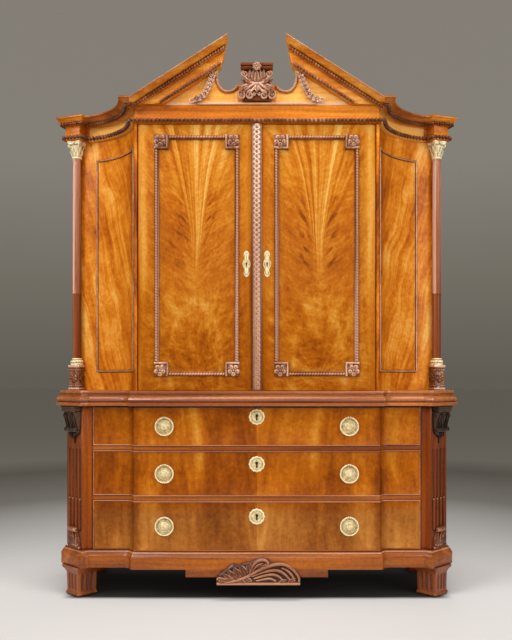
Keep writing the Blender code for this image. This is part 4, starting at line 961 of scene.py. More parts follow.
def cove_panel(side, sign):
    """The scooped panel with the stile beside the door and the corner face behind the column."""
    node = "cove_panel_" + side
    low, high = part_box(node)
    start, end = cove_angle(COVE_START), cove_angle(COVE_END)
    behind = pi - asin((COVE_BEHIND_DOOR - COVE_CENTRE.y) / (COVE_RADIUS + COVE_WALL))
    inner = min(abs(low.x), abs(high.x))
    found = {}
    for vertex in NODES[node].data.vertices:
        if vertex.co.z < low.z + SAME_LEVEL and abs(vertex.co.x) > COVE_END.x + 0.004:
            found[round(vertex.co.x, 4), round(vertex.co.y, 4)] = vertex.co
    corner = sorted(found.values(), key=lambda p: (round(p.y, 4), -abs(p.x)))
    rings = []
    for z in (low.z, high.z):
        ring = [Vector((sign * inner, DOOR_FACE, z))] + cove_arc(sign, COVE_RADIUS, start, end, z)
        ring += [Vector((p.x, p.y, z)) for p in corner]
        rings.append(ring + cove_arc(sign, COVE_RADIUS + COVE_WALL, end, behind, z))
    panel = Carving()
    panel.skin(rings)
    panel.stand_for(node, "scooped", 30)
    first, last = start - BEAD_INSETS[0] / COVE_RADIUS, end + BEAD_INSETS[1] / COVE_RADIUS
    bottom, top = WAIST_HIGH + BEAD_FOOT, HOOD_LOW - BEAD_HEAD
    bead = Carving()
    quirk = Carving()
    # Dark rods beside the bead: painted shade in its quirks
    for spread, proud, radius, form in (
        (0, COVE_BEAD_PROUD, COVE_BEAD_RADIUS, bead),
        (QUIRK_SPREAD, 0, QUIRK_RADIUS, quirk),
        (-QUIRK_SPREAD, 0, QUIRK_RADIUS, quirk),
    ):
        turn = spread / COVE_RADIUS
        path = cove_arc(sign, COVE_RADIUS - proud, first + turn, last - turn, bottom - spread)
        path += cove_arc(sign, COVE_RADIUS - proud, last - turn, first + turn, top + spread)
        form.rod(path, radius, 8, True)
    bead.piece("cove_bead_" + side, "bead", "mahogany")
    quirk.piece("cove_quirk_" + side, "ebony_and_shade", "mahogany")


# Hood and pediment

RAKE_INNER = 0.127
RAKE_SLOPE = 0.641
RAKE_FOOT = 0.552
SCALLOP_AT = 0.132
SCALLOP_HALF = 0.04
SCALLOP_FLOOR = 0.062
SCALLOP_RISES = (0.07, 0.026)
# Rows of beads along the hood: rise over its foot, size
HOOD_ROWS = ((0.48 * 0.027, 0.0105), (0.07 + 0.11 * 0.036, 0.008))
# Rows of beads along the rakes: drop under the edge, reach forward, start, end, size
RAKE_ROWS = ((0.0415, 0.034, 0.14, RAKE_FOOT - 0.004, 0.0078), (0.0985, 0.029, 0.157, 0.426, 0.0085))
# The pale edge of the rakes, a rod painted pale as a highlight: drop, reach forward, start, end
RAKE_EDGE = (0.0035, 0.06, 0.1285, 0.554)
RAKE_EDGE_RADIUS = 0.003
# Leaves of a husk: lean, length, width
HUSK = ((0.75, 0.025, 0.017), (-0.75, 0.025, 0.017), (0, 0.023, 0.015))
# The bracket, in shares of its half width, depth and height. Profiles: rise, width, depth
BRACKET_CORE = (
    (0, 0.72, 0.34), (0.1, 0.74, 0.42), (0.3, 0.56, 0.48),
    (0.46, 0.46, 0.46), (0.6, 0.52, 0.52), (0.86, 0.6, 0.6),
)
BRACKET_SLAB = (
    (0.835, 0.64, 0.7), (0.86, 0.74, 0.84), (0.895, 0.8, 0.93),
    (0.925, 0.77, 0.9), (0.94, 0.81, 1), (1, 0.81, 1),
)
# Its scrolls: wire, size of the volute, its eye, and the bends of the stem, as across, depth and rise
BRACKET_SCROLLS = (
    (0.09, 0.2, (0.74, 0.5, 0.13),
     ((0.06, 0.56, 0.46), (0.24, 0.58, 0.4), (0.48, 0.56, 0.3), (0.78, 0.52, 0.24))),
    (0.08, 0.17, (0.34, 0.56, 0.11),
     ((0.04, 0.58, 0.4), (0.14, 0.6, 0.32), (0.26, 0.6, 0.24), (0.38, 0.58, 0.2))),
    (0.075, 0.16, (0.6, 0.62, 0.72),
     ((0.12, 0.56, 0.46), (0.32, 0.58, 0.48), (0.5, 0.62, 0.56), (0.62, 0.64, 0.66))),
)
# Its leaves: across, rise, lean, length, width
BRACKET_LEAVES = (
    (0.3, 0.42, 1.95, 0.62, 0.3), (0.22, 0.3, 2.35, 0.46, 0.26), (0.52, 0.24, 1.7, 0.4, 0.24),
    (0.08, 0.24, 2.9, 0.34, 0.2), (0.2, 0.46, 1.15, 0.54, 0.26), (0.14, 0.5, 0.04, 0.66, 0.24),
    (0.3, 0.52, 0.08, 0.58, 0.26), (0.46, 0.56, 0.1, 0.4, 0.22), (0.56, 0.46, 0.9, 0.34, 0.24),
)


def hood_beads():
    """The dark carved beads under the frieze and under the crown."""
    carving = Carving()
    for rise, size in HOOD_ROWS:
        for path in outer_path(HOOD_LOW + rise):
            carving.rod(path, size * 0.5, 6, up=Z)
            carving.beads(path, size * 1.7, (size * 0.66, size * 1.1, size * 1.15), 0.35)
    carving.piece("hood_carved_beads", "beads", "carved_dark")


def outer_path(z):
    """The hood's outline at a level as open paths, left and right, joined where the front is whole."""
    points = ring_at("entablature", z)
    widest = max(p.x for p in points)
    flank = [p for p in points if p.x > widest - FLANK]
    middle = [p for p in points if p not in flank]
    shell = []
    for p in middle:
        nearest = min((q.y for q in middle if abs(q.x - p.x) < 0.012), default=p.y)
        if p.y <= nearest + 0.004:
            shell.append(p)
    right = shell + sorted(flank, key=lambda p: p.y if p.x < widest - 0.0005 else -1)
    left = flipped(right)
    if right[0].x < 0.56 and right[0].y < DOOR_FACE + 0.03 and z < FRIEZE_HIGH - 0.02:
        return [left[::-1] + right]
    return [left, right]


def rake_line(side, drop, out, start, end):
    """A line along a raking cornice at a drop below its top edge."""
    levels = [APEX - RAKE_SLOPE * (x - RAKE_INNER) - drop for x in (start, end)]
    return [Vector((side * x, DOOR_FACE - out, z)) for x, z in zip((start, end), levels)]


def rake_beads():
    carving = Carving()
    edge = Carving()
    for side in HANDS:
        for *line, size in RAKE_ROWS:
            path = rake_line(side, *line)
            carving.rod(path, size * 0.58, 6)
            carving.beads(path, size * 1.75, (size * 0.62, size * 1.15, size), side * 0.5)
        # A pale rod along each rake's top edge: a painted highlight
        edge.rod(rake_line(side, *RAKE_EDGE), RAKE_EDGE_RADIUS, 6)
    carving.piece("rake_carved_beads", "beads", "carved_dark")
    edge.piece("rake_highlight_edges", "bead", "mahogany")


def scallop_path(side, grow, steps=20):
    points = []
    for k in range(steps + 1):
        a = pi * k / steps
        rise = SCALLOP_RISES[0] if 2 * k <= steps else SCALLOP_RISES[1]
        x = SCALLOP_AT + (SCALLOP_HALF + grow) * cos(a)
        z = FRIEZE_HIGH + SCALLOP_FLOOR - grow + rise * (1 - sin(a))
        points.append(Vector((side * x, DOOR_FACE - 0.003, z)))
    return points


def tympanum_carving():
    """The lip of each scallop and the trail of husks that climbs beside it."""
    lip = Carving()
    trail = Carving()
    for side in HANDS:
        lip.rod(scallop_path(side, 0.004), 0.006, 8, up=Y)
        stem = []
        for k in range(11):
            t = k / 10
            z = FRIEZE_HIGH + 0.02 + 0.128 * t**2
            stem.append(Vector((side * (0.283 - 0.095 * t**0.7), DOOR_FACE - 0.006, z)))
        trail.rod(stem, 0.0065, 6)
        for here, ahead in spaced(stem, 0.0185):
            for lean, reach, width in HUSK:
                towards = Matrix.Rotation(lean, 3, "Y") @ ahead
                trail.leaf(here - ahead * 0.006 - Y * 0.004, towards, -Y, reach, width, 0.3, 1, 0.3, 8)
        foot = stem[0] + Vector((side * 0.004, -0.004, -0.002))
        trail.scroll(foot, X, Z, -Y, 0.012, 1.2, 0.34, 0.004, side)
        for lean in (-0.5, 0.1, 0.7):
            trail.leaf(stem[-1] - Y * 0.004, leaning(lean, -side), -Y, 0.026, 0.014, 0.34, 2, 0.3, 7)
    lip.piece("scallop_lips", "lip", "mahogany")
    trail.piece("tympanum_husk_trails", "husk", "carved_dark")


def half_oval(wide, deep, z):
    """A ring flat against the board behind it and rounded in front."""
    return [(wide * cos(a), -deep * sin(a) ** 0.7, z) for a in (pi * k / 16 for k in range(17))]


def bracket():
    """The carved bracket in the break of the pediment: scrolls, leaves and a moulded slab."""
    low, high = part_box("pediment_bracket")
    half, deep, tall = (high.x - low.x) / 2, high.y - low.y, high.z - low.z
    backing = Carving((0, high.y, low.z))
    for profile, ring in ((BRACKET_CORE, half_oval), (BRACKET_SLAB, box_ring)):
        backing.skin([ring(half * wide, deep * out, tall * rise) for rise, wide, out in profile])
    c = Carving((0, high.y, low.z))

    def spot(across, out, rise, side=1):
        return Vector((side * half * across, -deep * out, tall * rise))

    for side in HANDS:
        for wire, curl, eye, bends in BRACKET_SCROLLS:
            c.rod([spot(*bend, side) for bend in bends], half * wire, 8)
            c.scroll(spot(*eye, side), X * side, Z, -Y, half * curl, 1.5, 0.42, 0.006, -1, 1.3)
        for across, rise, lean, length, width in BRACKET_LEAVES:
            foot = spot(across, 0.52, rise, side)
            c.leaf(foot, leaning(lean, side), -Y, half * length, half * width, 0.3, 3, 0.26)
    c.leaf(spot(0, 0.54, 0.46), Z, -Y, half * 0.66, half * 0.3, 0.36, 3, 0.24)
    c.leaf(spot(0, 0.54, 0.44), -Z, -Y, half * 0.5, half * 0.3, 0.3, 3, 0.24)
    c.egg(spot(0, 0.66, 0.44), half * 0.09, half * 0.09, half * 0.07)
    c.rosette(spot(0, 0.96, 0.9), X, Z, -Y, half * 0.24, 7, 0.42)
    backing.piece("pediment_bracket_core", "core", "carved_dark")
    c.piece("pediment_bracket_carved", "crest", "carved_dark", "case", "pediment_bracket")


# Columns

FLUTES = 14
BAND_RISE = 0.34
BASE_RISE = 0.033
BASE_RADIUS = 0.03
CAPITAL_HALF = 0.036
PEDESTAL_HALF = 0.027 * 0.96
CORNER_TURN = radians(20)
# Profiles: share of the radius, and rise in metres or in shares of the height
COLUMN_BASE = (
    (1, 0), (1, 0.007), (0.97, 0.008), (0.88, 0.01), (0.9, 0.012), (0.95, 0.016),
    (0.92, 0.02), (0.8, 0.023), (0.76, 0.025), (0.8, 0.027), (0.8, 0.029), (0.72, 0.032),
)
CAPITAL_BELL = (
    (0.56, 0), (0.66, 0.02), (0.68, 0.05), (0.66, 0.08),
    (0.54, 0.1), (0.52, 0.4), (0.58, 0.62), (0.72, 0.78),
)
CAPITAL_SLAB = ((0.86, 0.82), (0.92, 0.84), (0.92, 0.89), (0.97, 0.905), (1, 0.92), (1, 1))
# Rows of leaves on the capital: rise, reach, length, turn in shares of a leaf
CAPITAL_LEAVES = ((0.09, 0.53, 0.4, 0), (0.34, 0.54, 0.44, 0.5))


def on_corner(side, sign, z):
    """A carving centred on a column and turned with it."""
    low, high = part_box("column_" + side)
    middle = (low + high) / 2
    return Carving((middle.x, middle.y, z), sign * CORNER_TURN)


def fluted(radius, z, depth=0):
    ring = []
    for a in circle(FLUTES * 6):
        r = radius * (1 - depth * max(0, cos(a * FLUTES)) ** 0.6)
        ring.append((r * cos(a), r * sin(a), z))
    return ring


def fluted_column(side, sign):
    """A shaft fluted above its band, on a gilt lobed base."""
    low, high = (corner.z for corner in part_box("column_" + side))
    foot, band = low + BASE_RISE, low + BAND_RISE
    # Share of the radius, level, depth of the flutes
    levels = (
        (0.88, foot - 0.004, 0), (0.92, foot + 0.002, 0), (0.95, band - 0.01, 0),
        (0.96, band - 0.007, 0), (1, band - 0.004, 0), (1, band + 0.002, 0),
        (0.95, band + 0.006, 0), (0.95, band + 0.016, 0), (0.95, band + 0.022, 0.13),
        (0.92, (band + high) / 2, 0.15), (0.88, high - 0.034, 0.15), (0.87, high - 0.026, 0),
        (0.86, high - 0.012, 0), (0.94, high - 0.009, 0), (0.94, high, 0),
    )
    stem = on_corner(side, sign, 0)
    stem.skin([fluted(COLUMN_RADIUS * share, z, depth) for share, z, depth in levels])
    stem.piece("column_shaft_" + side, "column", "dark_mahogany", "case", "column_" + side, 30)
    base = on_corner(side, sign, low)
    base.skin([fluted(BASE_RADIUS * share, rise) for share, rise in COLUMN_BASE])
    for a in circle(14):
        ahead, across = spoke(a), spoke(a, Y, -X)
        base.ball(ahead * (BASE_RADIUS * 0.88) + Z * 0.0155, across * 0.006, Z * 0.0064, ahead * 0.0042)
    base.flatten_back(COLUMN_RADIUS)
    base.piece("column_base_" + side, "brass", "gilt_brass", crease=40)


def slab_ring(half, z):
    """A square with hollowed sides and clipped corners."""
    ring = []
    for a in circle(48):
        r = min(half / max(abs(cos(a)), abs(sin(a))), half * 1.32)
        r *= 1 - 0.13 * cos(2 * a) ** 2
        ring.append((r * cos(a), r * sin(a), z))
    return ring


def capital(side, sign):
    """A gilt leaf capital: necking, bell, two rows of leaves, corner volutes and a hollow-sided slab."""
    low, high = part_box("capital_" + side)
    half = CAPITAL_HALF
    tall = high.z - low.z
    c = on_corner(side, sign, low.z)
    bell = [(half * w, tall * t) for w, t in CAPITAL_BELL]
    c.skin([[(r * cos(a), r * sin(a), z) for a in circle(32)] for r, z in bell])
    for rise, reach, length, turn in CAPITAL_LEAVES:
        for k in range(8):
            out = spoke(tau * (k + turn) / 8)
            foot = out * (half * reach) + Z * (tall * rise)
            c.leaf(foot, Z, out, tall * length, half * 0.46, 0.36, 3, 0.2)
    for k in range(4):
        out = spoke(tau * (k + 0.5) / 4)
        eye = out * (half * 0.98) + Z * (tall * 0.735)
        c.scroll(eye, out, Z, out.cross(Z), half * 0.2, 1.5, 0.34, 0, -1, 1.6)
        face = spoke(tau * k / 4)
        c.rosette(face * (half * 0.93) + Z * (tall * 0.9), face.cross(Z), Z, face, half * 0.2, 5, 0.5)
    c.skin([slab_ring(half * w, tall * t) for w, t in CAPITAL_SLAB])
    c.flatten_back(COLUMN_RADIUS)
    c.piece("capital_carved_" + side, "gilt", "gilt_brass", "case", "capital_" + side)


def pedestal_carving(side, sign):
    """Rosettes in the faces of the pedestal, between rows of beads."""
    low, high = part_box("pedestal_" + side)
    half = PEDESTAL_HALF
    tall = high.z - low.z
    c = on_corner(side, sign, low.z)
    for out, right in ((-Y, X), (X, Y), (-X, -Y)):
        c.rosette(out * half + Z * (tall * 0.48), right, Z, out, half * 0.88, 6, 0.34, 0.26, 0.24)
        for lift in (0.16, 0.8):
            for k in range(5):
                spot = out * half + right * (half * (k - 2) * 0.42) + Z * (tall * lift)
                c.ball(spot, right * 0.0044, Z * 0.004, out * 0.003)
    c.piece("pedestal_rosettes_" + side, "block", "dark_mahogany")


# Doors

SQUARE = 0.064
ROPE_INSET = 0.01
ROPE_PROUD = 0.0095
FLOWER_PROUD = 0.0115
# The rope: pitch, half axes of a bead, slant
ROPE = (0.0125, (0.0075, 0.0048, 0.004), 0.62)
KEYHOLE_RADIUS = 0.0042
KEYHOLE_SLOT = (0.0022, 0.014)
GUILLOCHE_LOOPS = 54
GUILLOCHE_REACH = 0.012
GUILLOCHE_END = 0.004
# The tall key plate: share of its outline, depth
ESCUTCHEON = (
    (1, 0), (1, -0.0012), (0.93, -0.0026), (0.8, -0.0022),
    (0.74, -0.0016), (0.55, -0.003), (0.3, -0.0036),
)


def door_carving(side):
    """The rope bead of one door's frame, and the flowers in its corner squares."""
    node = "door_frame_" + side
    low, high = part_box(node)
    rope, flowers, eyes = Carving(), Carving(), Carving()
    face = DOOR_FACE - ROPE_PROUD
    for z in (low.z + ROPE_INSET, high.z - ROPE_INSET):
        rope.beads([Vector((x, face, z)) for x in (low.x + SQUARE, high.x - SQUARE)], *ROPE)
    for x in (low.x + ROPE_INSET, high.x - ROPE_INSET):
        rope.beads([Vector((x, face, z)) for z in (low.z + SQUARE, high.z - SQUARE)], *ROPE, up=-X)
    half = SQUARE / 2
    for sx, x in ((-1, low.x + half), (1, high.x - half)):
        for sz, z in ((-1, low.z + half), (1, high.z - half)):
            corner_flower(flowers, eyes, Vector((x, DOOR_FACE - FLOWER_PROUD, z)), X * sx, Z * sz, half)
    rope.piece("door_frame_carving_" + side, "rope", "dark_mahogany", body_of(node))
    flowers.piece("door_corner_flowers_" + side, "flower", "dark_mahogany", body_of(node))
    eyes.piece("door_corner_eyes_" + side, "block", "dark_mahogany", body_of(node))


def corner_flower(flowers, eyes, at, side, rise, half):
    """A flower in the outer corner of a square, a leaf behind it and the bead returned round both."""
    reach = half - 0.0058
    end = half - 0.001
    bead = [at + side * end - rise * reach, at - (side + rise) * reach, at - side * reach + rise * end]
    eyes.rod(bead, 0.0062, 8)
    centre = at + (side + rise) * half * 0.16
    radius = half * 0.9
    inward = -(side + rise).normalized()
    flowers.leaf(centre + inward * radius * 0.5, inward, -Y, radius * 0.72, radius * 1.05, 0.1, 3, 0.2)
    for k in range(5):
        a = -pi / 2 + tau * k / 5
        petal = spoke(a, X, Z)
        across = spoke(a, Z, -X)
        at_petal = centre + petal * radius * 0.54
        flowers.ball(at_petal, petal * radius * 0.44, across * radius * 0.4, -Y * 0.0085, 12, 5)
    flowers.egg(centre - Y * 0.0045, radius * 0.17, radius * 0.17, 0.005, 10, 4)
    eyes.egg(centre, radius * 0.34, radius * 0.34, 0.0062, 12, 4)


def astragal_carving():
    """The cover strip: a guilloche of two pale strands with a dark eye in each loop."""
    low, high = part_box("astragal")
    softened("astragal", "strip", ASTRAGAL_EASING)
    strands = Carving()
    eyes = Carving()
    middle = (low.x + high.x) / 2
    start = low.z + GUILLOCHE_END
    pitch = (high.z - low.z - 2 * GUILLOCHE_END) / GUILLOCHE_LOOPS
    for hand in HANDS:
        path = []
        for k in range(GUILLOCHE_LOOPS * 10 + 1):
            t = k / 10
            x = middle + hand * GUILLOCHE_REACH * sin(pi * t)
            y = low.y + 0.0026 - 0.002 * hand * cos(pi * t) + 0.22 * abs(x - middle)
            path.append(Vector((x, y, start + pitch * t)))
        strands.rod(path, 0.0036, 6)
    for k in range(GUILLOCHE_LOOPS):
        z = start + pitch * (k + 0.5)
        eyes.egg((middle, low.y + 0.0016, z), 0.0076, 0.0088, 0.0032)
        for hand in HANDS:
            eyes.egg((middle + hand * 0.0115, low.y + 0.004, z + pitch / 2), 0.005, 0.0066, 0.0042)
    for edge in (low.x + 0.003, high.x - 0.003):
        strands.rod([Vector((edge, low.y + 0.0085, z)) for z in (low.z, high.z)], 0.0026, 6)
    strands.piece("astragal_guilloche", "strip", "dark_mahogany", body_of("astragal"))
    eyes.piece("astragal_eyes", "block", "dark_mahogany", body_of("astragal"))


def plate_outline(half_width, half_height):
    """The tall key plate's outline: crested, waisted and swelling at the keyhole."""
    swells = [(a, 0.8 + 0.2 * cos(2.5 * pi * sin(a))) for a in circle(56)]
    return [(half_width * cos(a) * swell, half_height * sin(a)) for a, swell in swells]


def keyhole_outline(scale):
    turns = [radians(-60 + 300 * k / 14) for k in range(15)]
    points = [(KEYHOLE_RADIUS * scale * cos(a), KEYHOLE_RADIUS * scale * sin(a)) for a in turns]
    half, drop = KEYHOLE_SLOT
    return points + [(-half * scale, -drop * scale), (half * scale, -drop * scale)]


def keyhole_rim(c, scale, depth, rise, wire):
    c.rod([Vector((x * 1.35, -depth, z * 1.2 + rise)) for x, z in keyhole_outline(scale)], wire, 6, True)


def keyhole(node, at, scale=1):
    """A dark sheet on the key plate: painted shade for the hollow of the keyhole."""
    hole = Carving(at)
    hole.skin([[(x, y, z) for x, z in keyhole_outline(scale)] for y in (0.0008, 0)])
    hole.piece("keyhole_" + node + "_dark", "dark", "gilt_brass", body_of(node))


def door_escutcheon(side):
    node = "door_escutcheon_" + side
    low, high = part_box(node)
    middle = (low + high) / 2
    wide, tall = (high.x - low.x) / 2, (high.z - low.z) / 2
    c = Carving((middle.x, high.y, middle.z))
    c.skin([[(x, y, z) for x, z in plate_outline(wide * s, tall * s)] for s, y in ESCUTCHEON])
    for hand in HANDS:
        c.leaf((0, -0.003, hand * tall * 0.3), Z * hand, -Y, tall * 0.58, wide * 0.8, 0.05, 3, 0.16)
        c.scroll((hand * wide * 0.52, -0.003, 0), X * hand, Z, -Y, wide * 0.26, 1.3, 0.3, 0.001)
    keyhole_rim(c, 1, 0.0036, 0, 0.0008)
    c.stand_for(node, "brass")
    keyhole(node, (middle.x, high.y - 0.0042, middle.z + 0.003))


# Chest

CANT = radians(45)
CANT_MIDDLE = Vector((0.8155, 0.0545 + DOOR_FACE))
FLUTE_SPACING = 0.0275
FLUTE_FOOT = 0.08
CABLE_TOP = 0.43
CABLE_RADII = (0.007, 0.007, 0.007, 0.0056, 0.002)
ROLL_RISE = 0.098 * 0.87
ROLL_OUT = 0.0105
ROLL_HALF = 0.029
# Leaves at the post's foot: lean, length, width, reach forward
FOOT_LEAVES = (
    (-0.5, 0.046, 0.026, 0.006), (0.5, 0.046, 0.026, 0.006), (-0.26, 0.054, 0.028, 0.008),
    (0.26, 0.054, 0.028, 0.008), (0, 0.06, 0.03, 0.01),
)
CONSOLE_WIDE = 0.056
CONSOLE_DEEP = 0.037
# The console, in shares of its height, width and depth. Slab: drop, size; body: drop, depth, width
CONSOLE_SLAB = (
    (0, 1), (0.055, 1), (0.065, 0.95), (0.085, 0.96), (0.12, 0.98), (0.14, 0.9), (0.16, 0.84),
)
CONSOLE_BODY = (
    (0.15, 0.82, 0.9), (0.24, 0.84, 0.93), (0.33, 0.76, 0.93), (0.43, 0.6, 0.91), (0.53, 0.5, 0.89),
    (0.6, 0.5, 0.87), (0.66, 0.42, 0.82), (0.72, 0.3, 0.66), (0.76, 0.18, 0.36), (0.79, 0.06, 0.12),
)
CONSOLE_SECTION = ((1, -0.08), (1, 0.86), (0.86, 1), (0.6, 0.94), (0.34, 0.94), (0.24, 1))
FOOT_HALF = 0.047
FLARE_HALF = 0.064
FOOT_GROOVE = 0.007
FOOT_GROOVE_LOW = 0.028
FOOT_GROOVE_HIGH = 0.099
# The foot's toe and hollow: rise in shares of the height, and flare
TOE = (
    (0, -0.3), (0.012, -0.02), (0.035, 0.2), (0.06, 0.28),
    (0.09, 0.28), (0.118, 0.18), (0.14, 0.02), (0.16, 0),
)
HOLLOW = (
    (0.78, 0.24), (0.82, 0.36), (0.86, 0.56), (0.89, 0.8),
    (0.905, 0.86), (0.92, 0.98), (0.94, 1), (1, 1),
)
ORNAMENT_AT = 0.007
ORNAMENT_HALF = 0.181
ORNAMENT_LOW = 0.0735
ORNAMENT_BAR = ((0.006, 0), (-0.004, 0), (-0.006, 0.003), (-0.006, 0.008), (-0.003, 0.011), (0.006, 0.011))
MM = 0.001
# The ridges of the spray in millimetres: thickness, and points across and up. The first is the stem that
# becomes the edge of the fall, the others its folds and the curl over it
RIDGES = (
    (8, ((-150, 10), (-115, 16), (-72, 28), (-28, 48), (15, 70), (60, 86),
         (95, 91), (120, 86), (152, 64), (174, 34), (176, 16))),
    (6.8, ((-30, 38), (22, 56), (60, 64), (90, 61), (116, 46), (138, 22))),
    (6.2, ((-20, 28), (20, 40), (56, 46), (84, 40), (106, 22))),
    (5.6, ((-10, 18), (26, 26), (52, 28), (76, 18))),
    (6, ((100, 74), (124, 64), (146, 42), (158, 18))),
    (7.2, ((-40, 40), (-34, 66), (-18, 92), (4, 107), (26, 108), (40, 99), (41, 88), (30, 86))),
    (5, ((-30, 48), (-16, 74), (2, 90), (20, 94))),
)
# The leaves of the spray in millimetres: foot across and up, lean from upright, length and width
SPRAYS = (
    (-120, 14, -1.25, 56, 26), (-108, 18, -0.95, 62, 26), (-120, 12, -1.52, 50, 20),
    (-96, 24, -0.72, 66, 28), (-80, 28, -0.95, 60, 26), (-80, 30, -0.52, 64, 28),
    (-62, 36, -0.82, 58, 26), (-60, 36, -0.36, 62, 28), (-44, 42, -0.6, 60, 26),
    (-40, 44, -0.16, 54, 26), (-24, 50, -0.34, 56, 24), (-90, 10, -1.2, 44, 20),
    (-58, 10, -1.1, 46, 20), (-30, 14, -0.95, 44, 20), (0, 70, 0.35, 36, 18),
    (16, 72, 0.75, 34, 16), (130, 12, 1.05, 40, 18), (90, 10, 1.15, 40, 18),
)
BEAD_RADIUS = 0.0027


def on_cant(sign, z):
    """A carving on the canted face of a post."""
    return Carving((sign * CANT_MIDDLE.x, CANT_MIDDLE.y, z), sign * CANT)


def bulging(thin, swell):
    """The radius of a roll that swells in its middle."""
    return lambda t: thin + swell * sin(pi * t)


def post_carving(side, sign):
    """Cables in the flutes' lower ends, and the carving of the block at the post's foot."""
    cables = on_cant(sign, 0)
    dots = on_cant(sign, 0)
    low = CHEST_LOW + FLUTE_FOOT + 0.008
    levels = (low, low + 0.02, CABLE_TOP - 0.012, CABLE_TOP - 0.005, CABLE_TOP)
    for k in (-1.5, -0.5, 0.5, 1.5):
        x = k * FLUTE_SPACING
        cables.rod([Vector((x, 0.0005, z)) for z in levels], lambda t: CABLE_RADII[round(t * 4)], 10)
        dots.egg((x, -0.001, CABLE_TOP + 0.003), 0.0042, 0.0042, 0.0042)
    cables.piece("post_cables_" + side, "post", "dark_mahogany", crease=40)
    dots.piece("post_pearls_" + side, "bead", "dark_mahogany")
    c = on_cant(sign, CHEST_LOW)
    for lean, length, width, out in FOOT_LEAVES:
        c.leaf((lean * 0.044, -out, 0.014), leaning(lean), -Y, length, width, 0.05, 3, 0.2)
    roll = [Vector((x, -ROLL_OUT, ROLL_RISE)) for x in (-ROLL_HALF, -0.018, 0, 0.018, ROLL_HALF)]
    c.rod(roll, bulging(0.008, 0.002), 12, up=Z)
    for hand in HANDS:
        end = (hand * ROLL_HALF, -ROLL_OUT, ROLL_RISE)
        c.scroll(end, -Y, Z, X * hand, 0.0086, 1.5, 0.22, 0.001, -1, 1.2)
        c.egg((hand * 0.047, -0.01, 0.008), 0.006, 0.005, 0.003)
    c.piece("post_foot_leaf_" + side, "block", "dark_mahogany")


def console(side, sign):
    """The dark scroll bracket under the waist: slab, reeded front, roll and drop."""
    node = "console_" + side
    low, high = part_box(node)
    wide, deep, tall = CONSOLE_WIDE, CONSOLE_DEEP, high.z - low.z
    c = on_cant(sign, high.z)
    c.skin([box_ring(wide * s, deep * s, -tall * d, 0.003) for d, s in CONSOLE_SLAB])
    rings = []
    for drop, reach, share in CONSOLE_BODY:
        half_ring = [(wide * share * s, -(deep * reach) * o, -tall * drop) for s, o in CONSOLE_SECTION]
        rings.append(half_ring + [(-x, y, z) for x, y, z in reversed(half_ring)])
    c.skin(rings)

    def spot(across, out, drop):
        return Vector((wide * across, -deep * out, -tall * drop))

    for across in (-0.72, -0.48, 0, 0.48, 0.72):
        reed = [spot(across * s, r, d) for d, r, s in CONSOLE_BODY[1:6]]
        c.rod(reed, 0.0036 if across else 0.0056, 8)
    roll_at = spot(0, 0.46, 0.625)
    roll = [roll_at + X * (wide * s) for s in (-0.82, -0.5, 0, 0.5, 0.82)]
    c.rod(roll, bulging(0.0088, 0.0016), 12, up=Z)
    for hand in HANDS:
        c.scroll(roll_at + X * (hand * wide * 0.83), -Y, Z, X * hand, 0.01, 1.6, 0.24, 0.002, -1, 1.4)
        c.scroll(spot(hand * 0.88, 0.42, 0.26), -Y, Z, X * hand, deep * 0.36, 1.7, 0.24, 0.002, -1, 1.4)
        c.leaf(spot(hand * 0.4, 0.3, 0.66), -Z - X * hand * 0.45, -Y, 0.03, 0.026, 0.14, 3)
    c.leaf(spot(0, 0.84, 0.17), -Z, -Y, tall * 0.4, wide * 0.56, -0.16, 4)
    c.leaf(spot(0, 0.26, 0.66), -Z, -Y, 0.034, 0.026, 0.1, 3)
    for drop, size in ((0.84, 0.0066), (0.9, 0.0054), (0.95, 0.0042)):
        c.egg((0, -0.003, -tall * drop), size, size * 1.3, size)
    c.piece("console_carved_" + side, "ebony_and_shade", "carved_dark", "case", node)


def front_foot(side, sign):
    """A square foot on a rounded toe, fluted and flaring in a hollow under the plinth."""
    node = "foot_front_" + side
    low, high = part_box(node)
    middle = (low + high) / 2
    tall = high.z - low.z
    c = Carving((middle.x, middle.y, low.z), sign * CANT)
    shank = tuple((0.19 + 0.56 * k / 16, 0.13 * k / 16) for k in range(17))
    levels = TOE + shank + HOLLOW
    c.skin([foot_ring(FOOT_HALF + flare * (FLARE_HALF - FOOT_HALF), rise * tall) for rise, flare in levels])
    c.stand_for(node, "foot", 40)


def foot_ring(half, z, steps=42):
    """A square with eased corners and three round-ended flutes in each face."""
    ring = []
    ends = min(z - FOOT_GROOVE_LOW, FOOT_GROOVE_HIGH - z)
    reach = min(1, ends / FOOT_GROOVE) if ends > 0 else 0
    wide = FOOT_GROOVE * sqrt(1 - (1 - reach) ** 2)
    for quarter in range(4):
        turn = Matrix.Rotation(quarter * pi / 2, 3, "Z")
        for k in range(steps):
            s = half * (2 * (k + 0.5) / steps - 1)
            depth = 0
            for across in (-0.5, 0, 0.5):
                off = abs(s - across * half)
                if off < wide:
                    depth = sqrt(wide**2 - off**2)
            ease = max(0, abs(s) - half * 0.94) * 0.8
            ring.append(turn @ Vector((s, -half + depth + ease, z)))
    return ring


def plinth_bead():
    """A pale rod under the drawers along the top edge of the plinth: a painted highlight."""
    right = [p - Y * 0.001 for p in ring_at("plinth", CHEST_LOW - 0.0068) if p.y < 0.3]
    bead = Carving()
    bead.rod(flipped(right[::-1]) + right, 0.004, 8, up=Z)
    bead.piece("plinth_highlight_bead", "bead", "mahogany")


